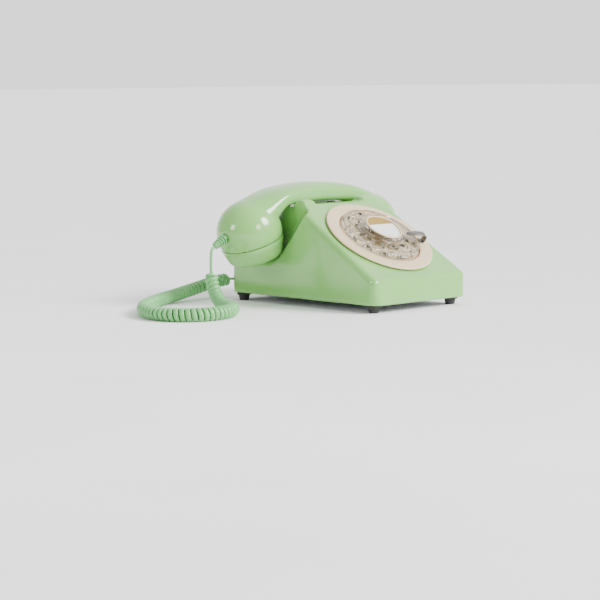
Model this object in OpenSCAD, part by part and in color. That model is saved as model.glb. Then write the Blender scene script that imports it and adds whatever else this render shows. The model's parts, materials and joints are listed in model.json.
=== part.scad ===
// Desk telephone with a rotary dial, a handset on a cradle and a curly handset cord.
// Millimetres. X runs to the right as seen from the front, Y to the back and Z up.
// The origin is on the table, under the middle of the case.

/* [Case] */
// Width of the case at the bottom of its front
case_front_w = 123; // [118:1:150]
// Width of the case at the bottom of its back
case_rear_w = 116; // [112:1:140]
// Depth of the case from front to back
case_len = 199; // [180:1:240]
// Height of the upright front apron
apron_h = 24; // [18:1:30]
// Slope of the dial face from the horizontal, in degrees
face_angle = 31.6; // [28:0.2:36]
// Length of the dial face along its slope
face_len = 119.5; // [114:0.5:126]
// Width of the dial face at its top edge
face_top_w = 114; // [108:1:124]
// Width of the case at the back edge of the cradle
cradle_w = 108; // [100:1:116]
// Height of the upright back wall
back_h = 36; // [24:1:44]
// Thickness of the case's wall
wall = 2.6; // [2:0.1:3.4]
// Rounding of the case's edges
edge_r = 5; // [4:0.5:7]
// Height of the rubber feet
foot_h = 7; // [5:0.5:9]

/* [Cradle] */
// Distance of the handset's centre plane behind the middle of the case
handset_y = 49; // [46:1:52]
// Depth of the cradle's trough below the top edge of the face
trough_depth = 2.6; // [2:0.2:4]
// Height of the four cradle horns above the top edge of the face
horn_h = 4.6; // [4:0.2:7]
// Width of a horn
horn_w = 20; // [12:1:22]
// Distance of a horn's middle from the centre plane
horn_x = 41; // [36:1:46]
// Clearance round the handset's balls, in the hollows at the sides
scoop_gap = 5; // [4.2:0.2:8]
// Width of the finger recess at the back
grip_w = 72; // [60:1:78]
// Height of the finger recess
grip_h = 19; // [16:1:20]

/* [Dial] */
// Outer diameter of the cream surround
bezel_d = 106; // [102:1:108]
// Diameter of the finger wheel
wheel_d = 77; // [74:1:79]
// Diameter of a finger hole
finger_hole_d = 13; // [11:0.5:13.5]
// Material between a finger hole and the wheel's rim
finger_hole_margin = 3.5; // [2.5:0.5:5]
// Diameter of the card at the middle of the dial
label_d = 32.6; // [26:0.2:33]
// Teeth of the main gear
main_teeth = 60; // [48:6:60]
// Teeth of the pinion that the main gear drives
pinion_teeth = 12; // [12:1:14]
// Teeth of the governor gear on the pinion's shaft
governor_gear_teeth = 40; // [36:1:42]
// Teeth of the governor's own pinion
governor_teeth = 10; // [10:1:12]

/* [Handset] */
// Length of the handset from end to end
handset_len = 217; // [212:0.5:228]
// Radius of the ball at each end
ball_r = 31; // [29:0.1:33]
// Height of the top of the handle above the table
handset_top = 112.5; // [111:0.5:116]
// Thickness of the handle at its middle
handle_t = 18; // [16:0.5:19]
// Width of the handle at its middle
handle_w = 46; // [38:1:50]
// Tilt of the ear and mouth caps towards each other, in degrees
cap_tilt = 20; // [12:1:24]
// Thickness of the handset's shell
shell = 2.4; // [1.8:0.1:3]

/* [Cord] */
// Outside diameter of the curly part
curl_d = 12.5; // [11:0.5:14]
// Diameter of the plain cable at the two ends
cable_d = 2.6; // [2.2:0.1:3.4]

/* [Hidden] */

green = "#b4d8ae";
cream = "#e6dccb";
fit = 0.3;        // clearance between parts that don't move against each other
slip = 0.05;      // radial clearance of a shaft in its bearing
over = 1;         // how far a cutter runs past the surface that it cuts

// ---- case outline ----
y_front = -case_len / 2;
y_rear = case_len / 2;
apron_back = 2;   // how far the apron leans back over its height
z_bottom = foot_h;
z_apron = z_bottom + apron_h;
y_face = y_front + apron_back;
y_lip = y_face + face_len * cos(face_angle);
z_lip = z_apron + face_len * sin(face_angle);
z_back = z_bottom + back_h;
cradle_back = 38;             // distance of the cradle's back edge behind the handset's centre plane
y_back_lip = handset_y + cradle_back;
z_trough = z_lip - trough_depth;
corner_r = 10;
plate_t = 1.4;
z_plate = z_bottom + 0.4;
z_inside = z_plate + plate_t;
// finger recess
z_grip = z_trough - wall - 3.2;
y_grip = handset_y + 13;

// ---- dial ----
dial_s = 61.8;      // distance of the dial's centre up the face from the apron
y_dial = y_face + dial_s * cos(face_angle);
z_dial = z_apron + dial_s * sin(face_angle);
dial_hole_r = bezel_d / 2 - 6;
bezel_in_r = wheel_d / 2 + 1.7;
bezel_top = 1.8;
number_top = 0.6;
wheel_under = 2.2;
wheel_rim_t = 3.4;
finger_hole_r = wheel_d / 2 - finger_hole_margin - finger_hole_d / 2;
hub_r = label_d / 2 + 2.4;
hub_top = 10.4;
card_t = 0.4;
window_t = 1.2;
spindle_r = 4;
hole_pitch = 30;
stop_angle = 108;             // clockwise from the top of the dial
first_hole = stop_angle - 60; // the hole for the digit 1
front_plate_h = -7;
bridge_h = -31;
dial_plate_t = 1.5;
main_module = 0.75;
governor_module = 0.6;
pinion_dist = main_module * (main_teeth + pinion_teeth) / 2;
governor_dist = governor_module * (governor_gear_teeth + governor_teeth) / 2;
governor_turn = 120;          // direction from the pinion's shaft to the governor's
pinion_at = [-pinion_dist, 0];
governor_at = pinion_at + governor_dist * [cos(governor_turn), sin(governor_turn)];
main_h = -14;
governor_gear_h = -20;
gear_t = 2;
pinion_r = 1.6;
cup_r = 9;

// ---- handset ----
ball_x = handset_len / 2 - ball_r;
top_arc_r = 258;
under_arc_r = 420;
// the handle's top arc runs smoothly into the balls
ball_z = handset_top - top_arc_r + sqrt(pow(top_arc_r - ball_r, 2) - pow(ball_x, 2));
seam_d = 8.8;               // distance of the cap's seam below the ball's centre
face_d = ball_r - 4.6;      // distance of the cap's flat face below the ball's centre
face_r = ball_r - 9;        // radius of that flat face
handle_end = ball_x + 9;
neck_x = ball_x - 34;         // from here the handle runs into the ball
handle_under = handset_top - handle_t;
relief_tilt = 28;
relief_len = 16;
relief_core_r = 2.9;
relief_root = ball_z - 3;
scoop_r = ball_r + scoop_gap;
trough_half = half_width(face_top_w / 2) + 0.7;

// ---- cradle switch ----
plunger_x = 30;
plunger_r = 4;
plunger_drop = under_arc_r - sqrt(pow(under_arc_r, 2) - pow(plunger_x + plunger_r, 2));
z_plunger_top = handle_under - plunger_drop - 0.4;
z_bar = z_trough - wall - 22;
bar_t = 4;
lever_reach = 26;
lever_pin_r = 1.5;
y_lever_pin = handset_y - lever_reach;
z_lever_pin = z_bar - 3;
z_switch = z_lever_pin - 20;    // floor of the switch bracket

// ---- ringer ----
gong_r = 25;
gong_x = 27.5;
y_gong = 63;
z_gong = z_inside + 6;
gong_h = 13;
y_clapper = 20;

// ---- cord ----
gland_x = -30;
gland_in = wall + 1.2;   // distance of the gland's inner flange behind the rear wall's face
socket_x = 45;
z_gland = z_bottom + 10;
gland_len = 8;
// Plain cable from the strain relief down to the first curl
lead_route = [
    [-121.8, 49, 57.2], [-123.7, 49, 55.7], [-125, 49, 53.5], [-125.5, 49, 51], [-125.8, 49, 47.5],
    [-126, 49, 43.5], [-126, 49, 39], [-126, 49, 34],
];
// Middle of the curls: down to the table, round a loose loop and back behind the case
curl_route = [
    [-126, 48.9, 33.8], [-126.2, 47, 23.5], [-127.6, 41.1, 14.4], [-130.6, 32.3, 8.5], [-135, 21, 6.3],
    [-141, 7, 6.3], [-151, -8, 6.3], [-166, -19, 6.3], [-184, -23, 6.3], [-202, -19, 6.3],
    [-215, -6, 6.3], [-220, 12, 6.3], [-217, 30, 6.3], [-208, 47, 6.3], [-196, 62, 6.3],
    [-181, 76, 6.3], [-164, 89, 6.3], [-146, 101, 6.3], [-127, 111, 6.5], [-108, 118, 7.6],
    [-90, 121.6, 9.8], [-73, 122.4, 12.6],
    [-57, 122.6, 15.4], [-43, 122.6, 16.9],
];
// Plain cable from the last curl to the gland
tail_route = [
    [-42.8, 122.6, 16.95], [-38.5, 122.4, 17], [-34.5, 121.2, 17], [-31.6, 118.4, 17],
    [-30.3, 114.8, 17], [-30, 111, 17], [-30, 107.7, 17],
];

// ======== helpers ========

module dial_place() translate([0, y_dial, z_dial]) rotate([face_angle, 0, 0]) children();

// A point clockwise from the top of the dial
function clock(angle, r) = [r * sin(angle), r * cos(angle)];

function polar(r, a) = [r * cos(a), r * sin(a)];

// Outline of a spur gear; each tooth is a trapezium a little thinner than its gap
function gear_outline(teeth, module_size) = let (
    pitch_r = teeth * module_size / 2,
    step = 360 / teeth,
    root_r = pitch_r - 1.2 * module_size,
    tip_r = pitch_r + 0.85 * module_size
) [
    for (i = [0 : teeth - 1]) each [
        polar(root_r, step * (i - 0.28)), polar(tip_r, step * (i - 0.1)),
        polar(tip_r, step * (i + 0.1)), polar(root_r, step * (i + 0.28)),
    ]
];

module gear(teeth, module_size, h, hole_r) difference() {
    linear_extrude(h) polygon(gear_outline(teeth, module_size));
    translate([0, 0, -over]) cylinder(r = hole_r, h = h + 2 * over, $fn = 48);
}

// Smooth curve through hand-placed points
function curve_point(a, b, c, d, t) =
    0.5 * (2 * b + (c - a) * t + (2 * a - 5 * b + 4 * c - d) * t * t
    + (3 * b - a - 3 * c + d) * t * t * t);

function curve(points, steps) = let (last = len(points) - 1) [
    for (i = [0 : last - 1], k = [0 : steps - 1]) curve_point(
        i > 0 ? points[i - 1] : 2 * points[0] - points[1], points[i], points[i + 1],
        i < last - 1 ? points[i + 2] : 2 * points[last] - points[last - 1], k / steps),
    points[last],
];

function unit(v) = v / norm(v);

function tangents(path) = let (last = len(path) - 1)
    [for (i = [0 : last]) unit(path[min(i + 1, last)] - path[max(i - 1, 0)])];

// Normals carried along the path without twisting
function normals(along, start, i = 0) = i == len(along) ? [] :
    let (n = unit(start - (start * along[i]) * along[i])) concat([n], normals(along, n, i + 1));

// Round tube along a path
module tube(path, r, sides, start = [0, 1, 0.01]) {
    along = tangents(path);
    side = normals(along, start);
    points = [
        for (i = [0 : len(path) - 1], k = [0 : sides - 1])
            path[i] + r * (cos(360 * k / sides) * side[i] + sin(360 * k / sides) * cross(along[i], side[i])),
    ];
    last = (len(path) - 1) * sides;
    faces = concat(
        [[for (k = [sides - 1 : -1 : 0]) k]],
        [for (i = [0 : len(path) - 2], k = [0 : sides - 1]) let (a = i * sides, b = (k + 1) % sides)
            [a + k, a + b, a + sides + b, a + sides + k]],
        [[for (k = [0 : sides - 1]) last + k]]
    );
    polyhedron(points, [for (f = faces) [for (j = [len(f) - 1 : -1 : 0]) f[j]]], convexity = 10);
}

// ======== case ========

// Mirrored pairs of spheres at half width x; shrink makes the same body a wall smaller
module corner_pair(x, y, z, shrink) for (s = [-1, 1])
    translate([s * (x - edge_r), y, z]) sphere(r = edge_r - shrink, $fn = 24);

module case_body(shrink) hull() {
    for (s = [-1, 1]) for (end = [[y_front, case_front_w, 1], [y_rear, case_rear_w, -1]])
        translate([s * (end[1] / 2 - corner_r), end[0] + end[2] * corner_r, z_bottom - shrink])
            cylinder(r = corner_r - shrink, h = 1, $fn = 32);
    corner_pair(case_front_w / 2 - 0.6, y_face + edge_r, z_apron - edge_r + 1, shrink);
    corner_pair(face_top_w / 2, y_lip + edge_r - 1, z_lip - edge_r, shrink);
    corner_pair(cradle_w / 2, y_back_lip - edge_r, z_lip - edge_r, shrink);
    corner_pair(case_rear_w / 2 - 1, y_rear - edge_r - 2, z_back - edge_r, shrink);
}

// Hollow for one of the handset's balls, open upwards and running out forwards below the horn
module scoop(s, r) {
    translate([s * ball_x, handset_y, ball_z]) cylinder(r = r, h = 60, $fn = 96);
    hull() {
        for (rise = [0, 60]) {
            translate([s * ball_x, handset_y, ball_z + rise]) sphere(r = r, $fn = 32);
            translate([s * face_top_w / 2, y_lip + 0.5, z_lip - 2 + rise])
                sphere(r = r - scoop_r + 10, $fn = 24);
        }
    }
}

// Side profile of a cradle horn; its steep side is next to the handle
module horn(length) rotate([90, 0, 90]) linear_extrude(horn_w) polygon([
    [0, z_trough - 4], [-length * 1.2, z_trough - 4], [-length * 1.2, z_lip - 1],
    [-length, z_lip + horn_h * 0.5], [-length * 0.8, z_lip + horn_h * 0.85],
    [-length * 0.55, z_lip + horn_h], [-length * 0.35, z_lip + horn_h * 0.9],
    [-length * 0.15, z_lip + horn_h * 0.55], [0, z_lip],
]);

module case_horns() for (s = [-1, 1]) {
    translate([s * horn_x - horn_w / 2, handset_y - trough_half, 0]) horn(17);
    translate([s * horn_x - horn_w / 2, handset_y + trough_half, 0]) mirror([0, 1, 0]) horn(10);
}

module grip_pocket(grow) translate([-grip_w / 2 - grow, y_grip - grow, z_grip - grip_h - grow])
    cube([grip_w + 2 * grow, 90, grip_h + 2 * grow]);

module case_shell() color(green) difference() {
    union() {
        case_body(0);
        case_horns();
    }
    difference() {
        case_body(wall);
        translate([-100, handset_y - trough_half - wall, z_trough - wall])
            cube([200, 2 * (trough_half + wall), 60]);
        grip_pocket(wall);
        for (s = [-1, 1]) scoop(s, scoop_r + wall);
    }
    translate([0, 0, -over]) linear_extrude(z_bottom + 2 * over) base_outline(wall);
    for (s = [-1, 1]) scoop(s, scoop_r);
    translate([-100, handset_y - trough_half, z_trough]) cube([200, 2 * trough_half, 60]);
    grip_pocket(0);
    dial_place() translate([0, 0, -20]) cylinder(r = dial_hole_r, h = 40, $fn = 96);
    for (s = [-1, 1]) translate([s * plunger_x, handset_y, z_trough - wall - over])
        cylinder(r = plunger_r + 0.5, h = wall + 2 * over, $fn = 48);
    translate([gland_x, y_rear - 12, z_gland]) rotate([-90, 0, 0]) cylinder(r = 4.2, h = 20, $fn = 48);
    translate([socket_x - 8.3, y_rear - 12, z_gland - 5.3]) cube([16.6, 20, 12.6]);
}

// Outline of the case's bottom edge, moved in by the given amount
function base_outline_points(inset) = [
    for (c = [[1, -1], [1, 1], [-1, 1], [-1, -1]], k = [0 : 8]) let (
        w = c[1] < 0 ? case_front_w : case_rear_w,
        a = atan2(c[1], c[0]) - 45 + 90 * k / 8 ) [
        c[0] * (w / 2 - corner_r) + (corner_r - inset) * cos(a),
        c[1] * (case_len / 2 - corner_r) + (corner_r - inset) * sin(a),
    ],
];
module base_outline(inset) polygon(base_outline_points(inset));

module base_plate() color("#8f9496") difference() {
    translate([0, 0, z_plate]) linear_extrude(plate_t) base_outline(wall + fit + 0.4);
    at_feet() translate([0, 0, z_plate - over]) cylinder(r = 2.8, h = plate_t + 2 * over, $fn = 32);
    at_screws() translate([0, 0, z_plate - over]) cylinder(r = 1.7, h = plate_t + 2 * over, $fn = 32);
}

foot_x = case_front_w / 2 - wall - 7.9;
foot_inset = 13;
module at_feet() for (s = [-1, 1], y = [y_front + foot_inset, y_rear - foot_inset])
    translate([s * foot_x, y, 0]) children();

module rubber_feet() color("#2c2b2d") at_feet() rotate_extrude($fn = 48) polygon([
    [0, 0], [4.3, 0], [4.9, 0.6], [5.5, foot_h - 2.2], [7, foot_h - 1.8], [7, foot_h - 0.1],
    [4, foot_h - 0.1], [4, z_plate - 0.02], [2.7, z_plate - 0.02],
    [2.7, z_inside], [3.6, z_inside], [3.2, z_inside + 1.4], [0, z_inside + 1.4],
]);

screw_y = [y_front + 30, y_rear - 30];
module at_screws() for (y = screw_y) translate([0, y, 0]) children();

module case_screws() color("silver") at_screws() difference() {
    union() {
        translate([0, 0, z_plate - 1.6]) cylinder(r = 3.4, h = 1.6, $fn = 48);
        translate([0, 0, z_plate - 1.6]) cylinder(r = 1.6, h = 9, $fn = 32);
    }
    translate([-5, -0.4, z_plate - 1.6 - over]) cube([10, 0.8, 0.8 + over]);
}

module line_socket() color("#303134") difference() {
    translate([socket_x - 8, y_rear - 12, z_gland - 5]) cube([16, 11.5, 12]);
    translate([socket_x - 5.6, y_rear - 10.5, z_gland - 3.2]) cube([11.2, 20, 8]);
}

module cord_gland() color("#9fca9b") translate([gland_x, y_rear, z_gland]) rotate([-90, 0, 0]) difference() {
    union() {
        translate([0, 0, -gland_in - 1.6]) cylinder(r = 4, h = gland_in + 1.8, $fn = 48);
        translate([0, 0, -gland_in - 1.6]) cylinder(r = 5.6, h = 1.6, $fn = 48);
        translate([0, 0, 0.1]) cylinder(r1 = 5.6, r2 = 3.6, h = gland_len, $fn = 48);
    }
    translate([0, 0, -gland_in - 1.6 - over])
        cylinder(r = cable_d / 2 + slip, h = gland_in + 13.2, $fn = 32);
}

// ======== dial ========

module dial_bezel() color(cream) dial_place() rotate_extrude($fn = 96) polygon([
    [bezel_in_r, front_plate_h + 0.02], [dial_hole_r - fit, front_plate_h + 0.02], [dial_hole_r - fit, 0.15],
    [bezel_d / 2, 0.15], [bezel_d / 2, 0.9], [bezel_d / 2 - 0.7, bezel_top],
    [bezel_in_r + 0.8, bezel_top], [bezel_in_r, bezel_top - 0.7],
]);

module dial_number_plate() color("#efebe2") dial_place() rotate_extrude($fn = 96) polygon([
    [spindle_r + 2, number_top - 1.2], [bezel_in_r - fit, number_top - 1.2],
    [bezel_in_r - fit, number_top], [spindle_r + 2, number_top],
]);

plate_bolts = [10, 110, 215];
pillar_r = 33;                // distance of the pillars from the dial's axis
post_r = bezel_in_r - 7.2;    // distance of the number plate's posts from it
module dial_plate(h, r) translate([0, 0, h]) difference() {
    cylinder(r = r, h = dial_plate_t, $fn = 96);
    translate([0, 0, -over]) cylinder(r = spindle_r + slip, h = 4, $fn = 48);
    for (p = [pinion_at, governor_at]) translate([p[0], p[1], -over])
        cylinder(r = pinion_r + slip, h = 4, $fn = 32);
    for (a = plate_bolts) translate([clock(a, pillar_r)[0], clock(a, pillar_r)[1], -over])
        cylinder(r = 1.6, h = 4, $fn = 32);
}

module dial_front_plate() color("#b9bcc0") dial_place()
    dial_plate(front_plate_h - dial_plate_t, dial_hole_r - fit);
module dial_bridge_plate() color("#b9bcc0") dial_place() dial_plate(bridge_h, pillar_r + 4);

module dial_pillars() color("#c9a75a") dial_place() for (a = plate_bolts) {
    translate([clock(a, pillar_r)[0], clock(a, pillar_r)[1], 0]) {
        translate([0, 0, bridge_h - 1]) cylinder(r = 1.5, h = front_plate_h - bridge_h + 1, $fn = 32);
        translate([0, 0, bridge_h + dial_plate_t])
            cylinder(r = 2.6, h = front_plate_h - bridge_h - 2 * dial_plate_t, $fn = 32);
    }
    translate([clock(a, post_r)[0], clock(a, post_r)[1], front_plate_h])
        cylinder(r = 2.6, h = number_top - 1.2 - front_plate_h, $fn = 32);
}

// Bent strip that stands on the surround and reaches in over the wheel
stop_base = bezel_in_r + 1;
stop_tip = finger_hole_r - 2.1;
stop_screw_r = stop_base + 1.8;
module finger_stop() color("#8b8d90") dial_place() rotate([0, 0, 90 - stop_angle]) difference() {
    translate([0, 3.4, 0]) rotate([90, 0, 0]) linear_extrude(6.8) polygon([
        [stop_base, bezel_top + 0.02], [stop_base + 4.6, bezel_top + 0.02],
        [stop_base + 5.5, bezel_top + 0.8], [stop_base + 6, 7.4], [stop_base + 5.4, 9.2],
        [stop_base + 3.6, 10.4], [stop_base + 1, 10.6], [stop_tip + 4.6, 9.4], [stop_tip + 0.4, 8.2],
        [stop_tip, 7.2], [stop_tip + 4.6, 8.4], [stop_base + 1, 9.6], [stop_base + 3.2, 9.4],
        [stop_base + 4.5, 8.6], [stop_base + 5, 7.4], [stop_base + 4.5, bezel_top + 1],
        [stop_base, bezel_top + 1],
    ]);
    for (s = [-1, 1]) translate([stop_tip + 4.6, s * 2.7, 0]) rotate([0, 0, s * 9])
        translate([-8, s > 0 ? 0 : -6, 5]) cube([13, 6, 8]);
    translate([stop_screw_r, 0, 0]) cylinder(r = 0.9, h = 4, $fn = 24);
}

module finger_stop_screw() color("silver") dial_place() rotate([0, 0, 90 - stop_angle])
    translate([stop_screw_r, 0, 0]) {
        translate([0, 0, bezel_top + 1]) cylinder(r = 1.5, h = 0.9, $fn = 32);
        translate([0, 0, bezel_top + 0.05]) cylinder(r = 0.85, h = 1.2, $fn = 24);
    }

module finger_wheel() color("#dcd8d2", 0.5) dial_place() difference() {
    rotate_extrude($fn = 96) polygon([
        [spindle_r + slip, hub_top - 4], [hub_r - 3, hub_top - 4], [hub_r, wheel_under + 1.6],
        [wheel_d / 2 - 4, wheel_under], [wheel_d / 2 - 0.6, wheel_under], [wheel_d / 2, wheel_under + 0.6],
        [wheel_d / 2, wheel_under + wheel_rim_t - 0.8], [wheel_d / 2 - 0.8, wheel_under + wheel_rim_t],
        [wheel_d / 2 - 2.4, wheel_under + wheel_rim_t], [hub_r + 1.2, wheel_under + wheel_rim_t + 1.6],
        [hub_r, hub_top], [hub_r - 1, hub_top + 0.8], [label_d / 2 + 0.2, hub_top + 0.8],
        [label_d / 2 + 0.2, hub_top], [spindle_r + slip, hub_top],
    ]);
    for (i = [0 : 9]) translate([clock(first_hole - i * hole_pitch, finger_hole_r)[0],
        clock(first_hole - i * hole_pitch, finger_hole_r)[1], 0])
        cylinder(r = finger_hole_d / 2, h = 14, $fn = 48);
}

module label_card() color("#f4f2ea") dial_place() translate([0, 0, hub_top + 0.02])
    cylinder(r = label_d / 2, h = card_t, $fn = 96);

module label_window() color("#e8eef0", 0.4) dial_place() translate([0, 0, hub_top + card_t + 0.04])
    cylinder(r1 = label_d / 2, r2 = label_d / 2 - 0.8, h = window_t, $fn = 96);

module label_ring() color("#d9d5cc") dial_place() translate([0, 0, hub_top + 0.84])
    difference() {
        cylinder(r = hub_r - 0.6, h = 0.9, $fn = 96);
        translate([0, 0, -over]) cylinder(r = label_d / 2 + 0.1, h = 3, $fn = 96);
    }

module dial_spindle() color("#c9a75a") dial_place() {
    translate([0, 0, bridge_h - 2]) cylinder(r = spindle_r, h = hub_top - bridge_h + 2, $fn = 48);
    translate([0, 0, main_h - 1.6]) cylinder(r = spindle_r + 3, h = 1.5, $fn = 48);
}

module main_gear() color("#d2ad5c") dial_place() translate([0, 0, main_h])
    gear(main_teeth, main_module, gear_t, spindle_r + 0.01);

// Flat spiral round the spindle
spring_turns = 4;
spring_rise = 2.2;
function spiral(r0, width) = let (steps = spring_turns * 20) concat(
    [for (i = [0 : steps]) polar(r0 + spring_rise * i / 20, 360 * i / 20)],
    [for (i = [steps : -1 : 0]) polar(r0 + width + spring_rise * i / 20, 360 * i / 20)]
);
module mainspring() color("#5b6066") dial_place() translate([0, 0, -26]) linear_extrude(4)
    polygon(spiral(spindle_r + 1.5, 0.6));

module pinion_shaft() color("#c9a75a") dial_place() translate([pinion_at[0], pinion_at[1], 0]) {
    translate([0, 0, bridge_h - 1]) cylinder(r = pinion_r, h = front_plate_h - bridge_h + 0.8, $fn = 32);
    translate([0, 0, main_h - 1]) rotate([0, 0, 180 / pinion_teeth])
        linear_extrude(gear_t + 2) polygon(gear_outline(pinion_teeth, main_module));
}

// Phase that puts a gap of the governor gear opposite a tooth of the governor's pinion
module governor_gear() color("#d2ad5c") dial_place()
    translate([pinion_at[0], pinion_at[1], governor_gear_h]) rotate([0, 0, governor_turn])
        gear(governor_gear_teeth, governor_module, gear_t, pinion_r + 0.01);

module impulse_cam() color("#3b3430") dial_place()
    translate([pinion_at[0], pinion_at[1], -27]) difference() {
    union() {
        cylinder(r = 4, h = 2.4, $fn = 48);
        for (a = [0, 180]) rotate([0, 0, a]) translate([-1.2, 0, 0]) cube([2.4, 5.6, 2.4]);
    }
    translate([0, 0, -over]) cylinder(r = pinion_r + 0.01, h = 5, $fn = 32);
}

module governor_shaft() color("#c9a75a") dial_place() translate([governor_at[0], governor_at[1], 0]) {
    translate([0, 0, bridge_h - 1]) cylinder(r = pinion_r, h = front_plate_h - bridge_h + 0.8, $fn = 32);
    translate([0, 0, governor_gear_h - 0.5]) rotate([0, 0, governor_turn + 180 + 180 / governor_teeth])
        linear_extrude(gear_t + 1) polygon(gear_outline(governor_teeth, governor_module));
    translate([2 - cup_r, -1, -28]) cube([2 * (cup_r - 2), 2, 1.2]);
}

module governor_weights() color("#a9adb1") dial_place() translate([governor_at[0], governor_at[1], -26.7])
    for (a = [0, 180]) rotate([0, 0, a]) difference() {
        cylinder(r = cup_r - 1.8, h = 4, $fn = 64);
        translate([0, 0, -over]) cylinder(r = 5.4, h = 7, $fn = 48);
        translate([-20, -30, -over]) cube([40, 31.5, 7]);
    }

module governor_cup() color("#9a9da1") dial_place()
    translate([governor_at[0], governor_at[1], -29.4]) difference() {
    cylinder(r = cup_r, h = 7.4, $fn = 64);
    translate([0, 0, 0.8]) cylinder(r = cup_r - 1, h = 8, $fn = 64);
    translate([0, 0, -over]) cylinder(r = pinion_r + 0.4, h = 4, $fn = 32);
}

module impulse_contacts() color("#b98a4a") dial_place() {
    translate([-36, -26, bridge_h + dial_plate_t]) cube([9, 6, 9]);
    for (x = [-33.6, -31.4, -29.2]) translate([x, -20.2, -27]) cube([0.4, 13.4, 3]);
}

// ======== cradle switch ========

module plunger(s) color("#f0ede4") translate([s * plunger_x, handset_y, 0]) {
    translate([0, 0, z_bar + bar_t]) cylinder(r = plunger_r, h = z_plunger_top - z_bar - bar_t, $fn = 48);
    translate([0, 0, z_trough - wall - 9.5]) cylinder(r = plunger_r + 2, h = 3, $fn = 48);
}
module plunger_left() plunger(-1);
module plunger_right() plunger(1);

module plunger_bar() color("#3a3b3e") translate([-plunger_x - 6, handset_y - 4, z_bar])
    cube([2 * plunger_x + 12, 8, bar_t - 0.02]);

module switch_bracket() color("#b9bcc0") {
    for (s = [-1, 1]) difference() {
        translate([s * 13 - 0.75, y_lever_pin - 6, z_switch]) cube([1.5, 18, z_lever_pin - z_switch + 6]);
        translate([s * 13 - 3, y_lever_pin, z_lever_pin]) rotate([0, 90, 0])
            cylinder(r = lever_pin_r, h = 6, $fn = 32);
    }
    translate([-12.25, y_lever_pin - 6, z_switch]) cube([24.5, 18, 1.5]);
    for (s = [-1, 1]) translate([s * 9 - 3, y_lever_pin - 6, z_inside]) cube([6, 6, z_switch - z_inside]);
}

module switch_lever() color("#8a8e92") difference() {
    union() {
        translate([-10, y_lever_pin - 3, z_lever_pin - 3]) cube([20, 6, 5]);
        translate([-4, y_lever_pin, z_lever_pin - 1]) cube([8, lever_reach + 3, 3.6]);
    }
    translate([-20, y_lever_pin, z_lever_pin]) rotate([0, 90, 0])
        cylinder(r = lever_pin_r + slip, h = 40, $fn = 32);
}

module switch_lever_pin() color("silver") translate([-14.4, y_lever_pin, z_lever_pin]) rotate([0, 90, 0])
    cylinder(r = lever_pin_r, h = 28.8, $fn = 32);

// Return spring between the bracket's floor and the lever
spring_y = y_lever_pin + 7.5;
spring_r = 3;
spring_wire = 0.45;
spring_coils = 7;
function spring_path() = let (
    low = z_switch + 1.5 + spring_wire + 0.02,
    high = z_lever_pin - 1 - spring_wire - 0.02,
    steps = spring_coils * 12
) [
    for (i = [0 : steps]) [
        spring_r * cos(360 * i / 12), spring_y + spring_r * sin(360 * i / 12),
        low + (high - low) * i / steps,
    ],
];
module switch_spring() color("#9ea3a8") tube(spring_path(), spring_wire, 8, [0.1, 0, 1]);

// Contact springs beside the lever, on a tall block
module switch_contacts() color("#b98a4a") {
    for (x = [18, 21, 24]) translate([x, y_lever_pin - 4, z_switch]) cube([0.5, 20, 12]);
    translate([16, y_lever_pin - 8, z_inside]) cube([11, 8, z_switch + 6 - z_inside]);
}

// ======== ringer ========

module gong(s) color("#c8b27a") translate([s * gong_x, y_gong, z_gong]) difference() {
    rotate_extrude($fn = 96) polygon([
        [2.1, gong_h - 1.4], [10, gong_h - 1.6], [18, gong_h - 3.4], [23, gong_h - 7.5],
        [gong_r - 1.6, 0], [gong_r, 0], [24.4, gong_h - 7], [19, gong_h - 2.2],
        [10.4, gong_h], [2.1, gong_h],
    ]);
}
module bell_gong_left() gong(-1);
module bell_gong_right() gong(1);

module bell_posts() color("silver") for (s = [-1, 1]) translate([s * gong_x, y_gong, z_inside]) {
    cylinder(r = 4, h = 6 + gong_h - 1.5, $fn = 32);
    cylinder(r = 2, h = 6 + gong_h + 2, $fn = 32);
    translate([0, 0, 6 + gong_h + 0.05]) cylinder(r = 3.6, h = 2, $fn = 6);
}

module ringer_frame() color("#7c8287") {
    translate([-22, y_clapper + 4, z_inside]) cube([44, 14, 2]);
    for (s = [-1, 1]) translate([s * 20 - 2, y_clapper + 4, z_inside + 2]) cube([4, 14, 14]);
    for (s = [-1, 1]) translate([s * 4 - 1, y_clapper + 6.5, z_inside + 2]) difference() {
        cube([2, 9, 16]);
        translate([-over, 4.5, 13]) rotate([0, 90, 0]) cylinder(r = 1, h = 4, $fn = 24);
    }
}

module ringer_coils() color("#a8552f") for (s = [-1, 1])
    translate([s * 6 + (s > 0 ? 0 : -11.8), y_clapper + 11, z_inside + 8.6])
        rotate([0, 90, 0]) cylinder(r = 6, h = 11.8, $fn = 48);

// The striker swings on an upright pin between the two gongs
clapper_pin_r = 1.2;
module clapper_arm() color("#8a8e92") translate([0, y_clapper + 24, 0]) {
    difference() {
        union() {
            translate([0, 0, z_inside + 10]) cylinder(r = 3, h = 4, $fn = 48);
            translate([-0.8, 0, z_inside + 11]) cube([1.6, y_gong - y_clapper - 25.2, 2]);
        }
        translate([0, 0, z_inside + 9]) cylinder(r = clapper_pin_r + slip, h = 6, $fn = 32);
    }
    translate([0, y_gong - y_clapper - 24, z_inside + 8.4]) cylinder(r = 1.6, h = 7, $fn = 32);
}

module clapper_pin() color("silver") translate([0, y_clapper + 24, z_inside]) {
    cylinder(r = 2.6, h = 9.8, $fn = 32);
    cylinder(r = clapper_pin_r, h = 15, $fn = 32);
}

// ======== electrics on the base plate ========

board = [86, 42, 1.6];
board_at = [-43, -52, z_inside + 3];

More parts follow.
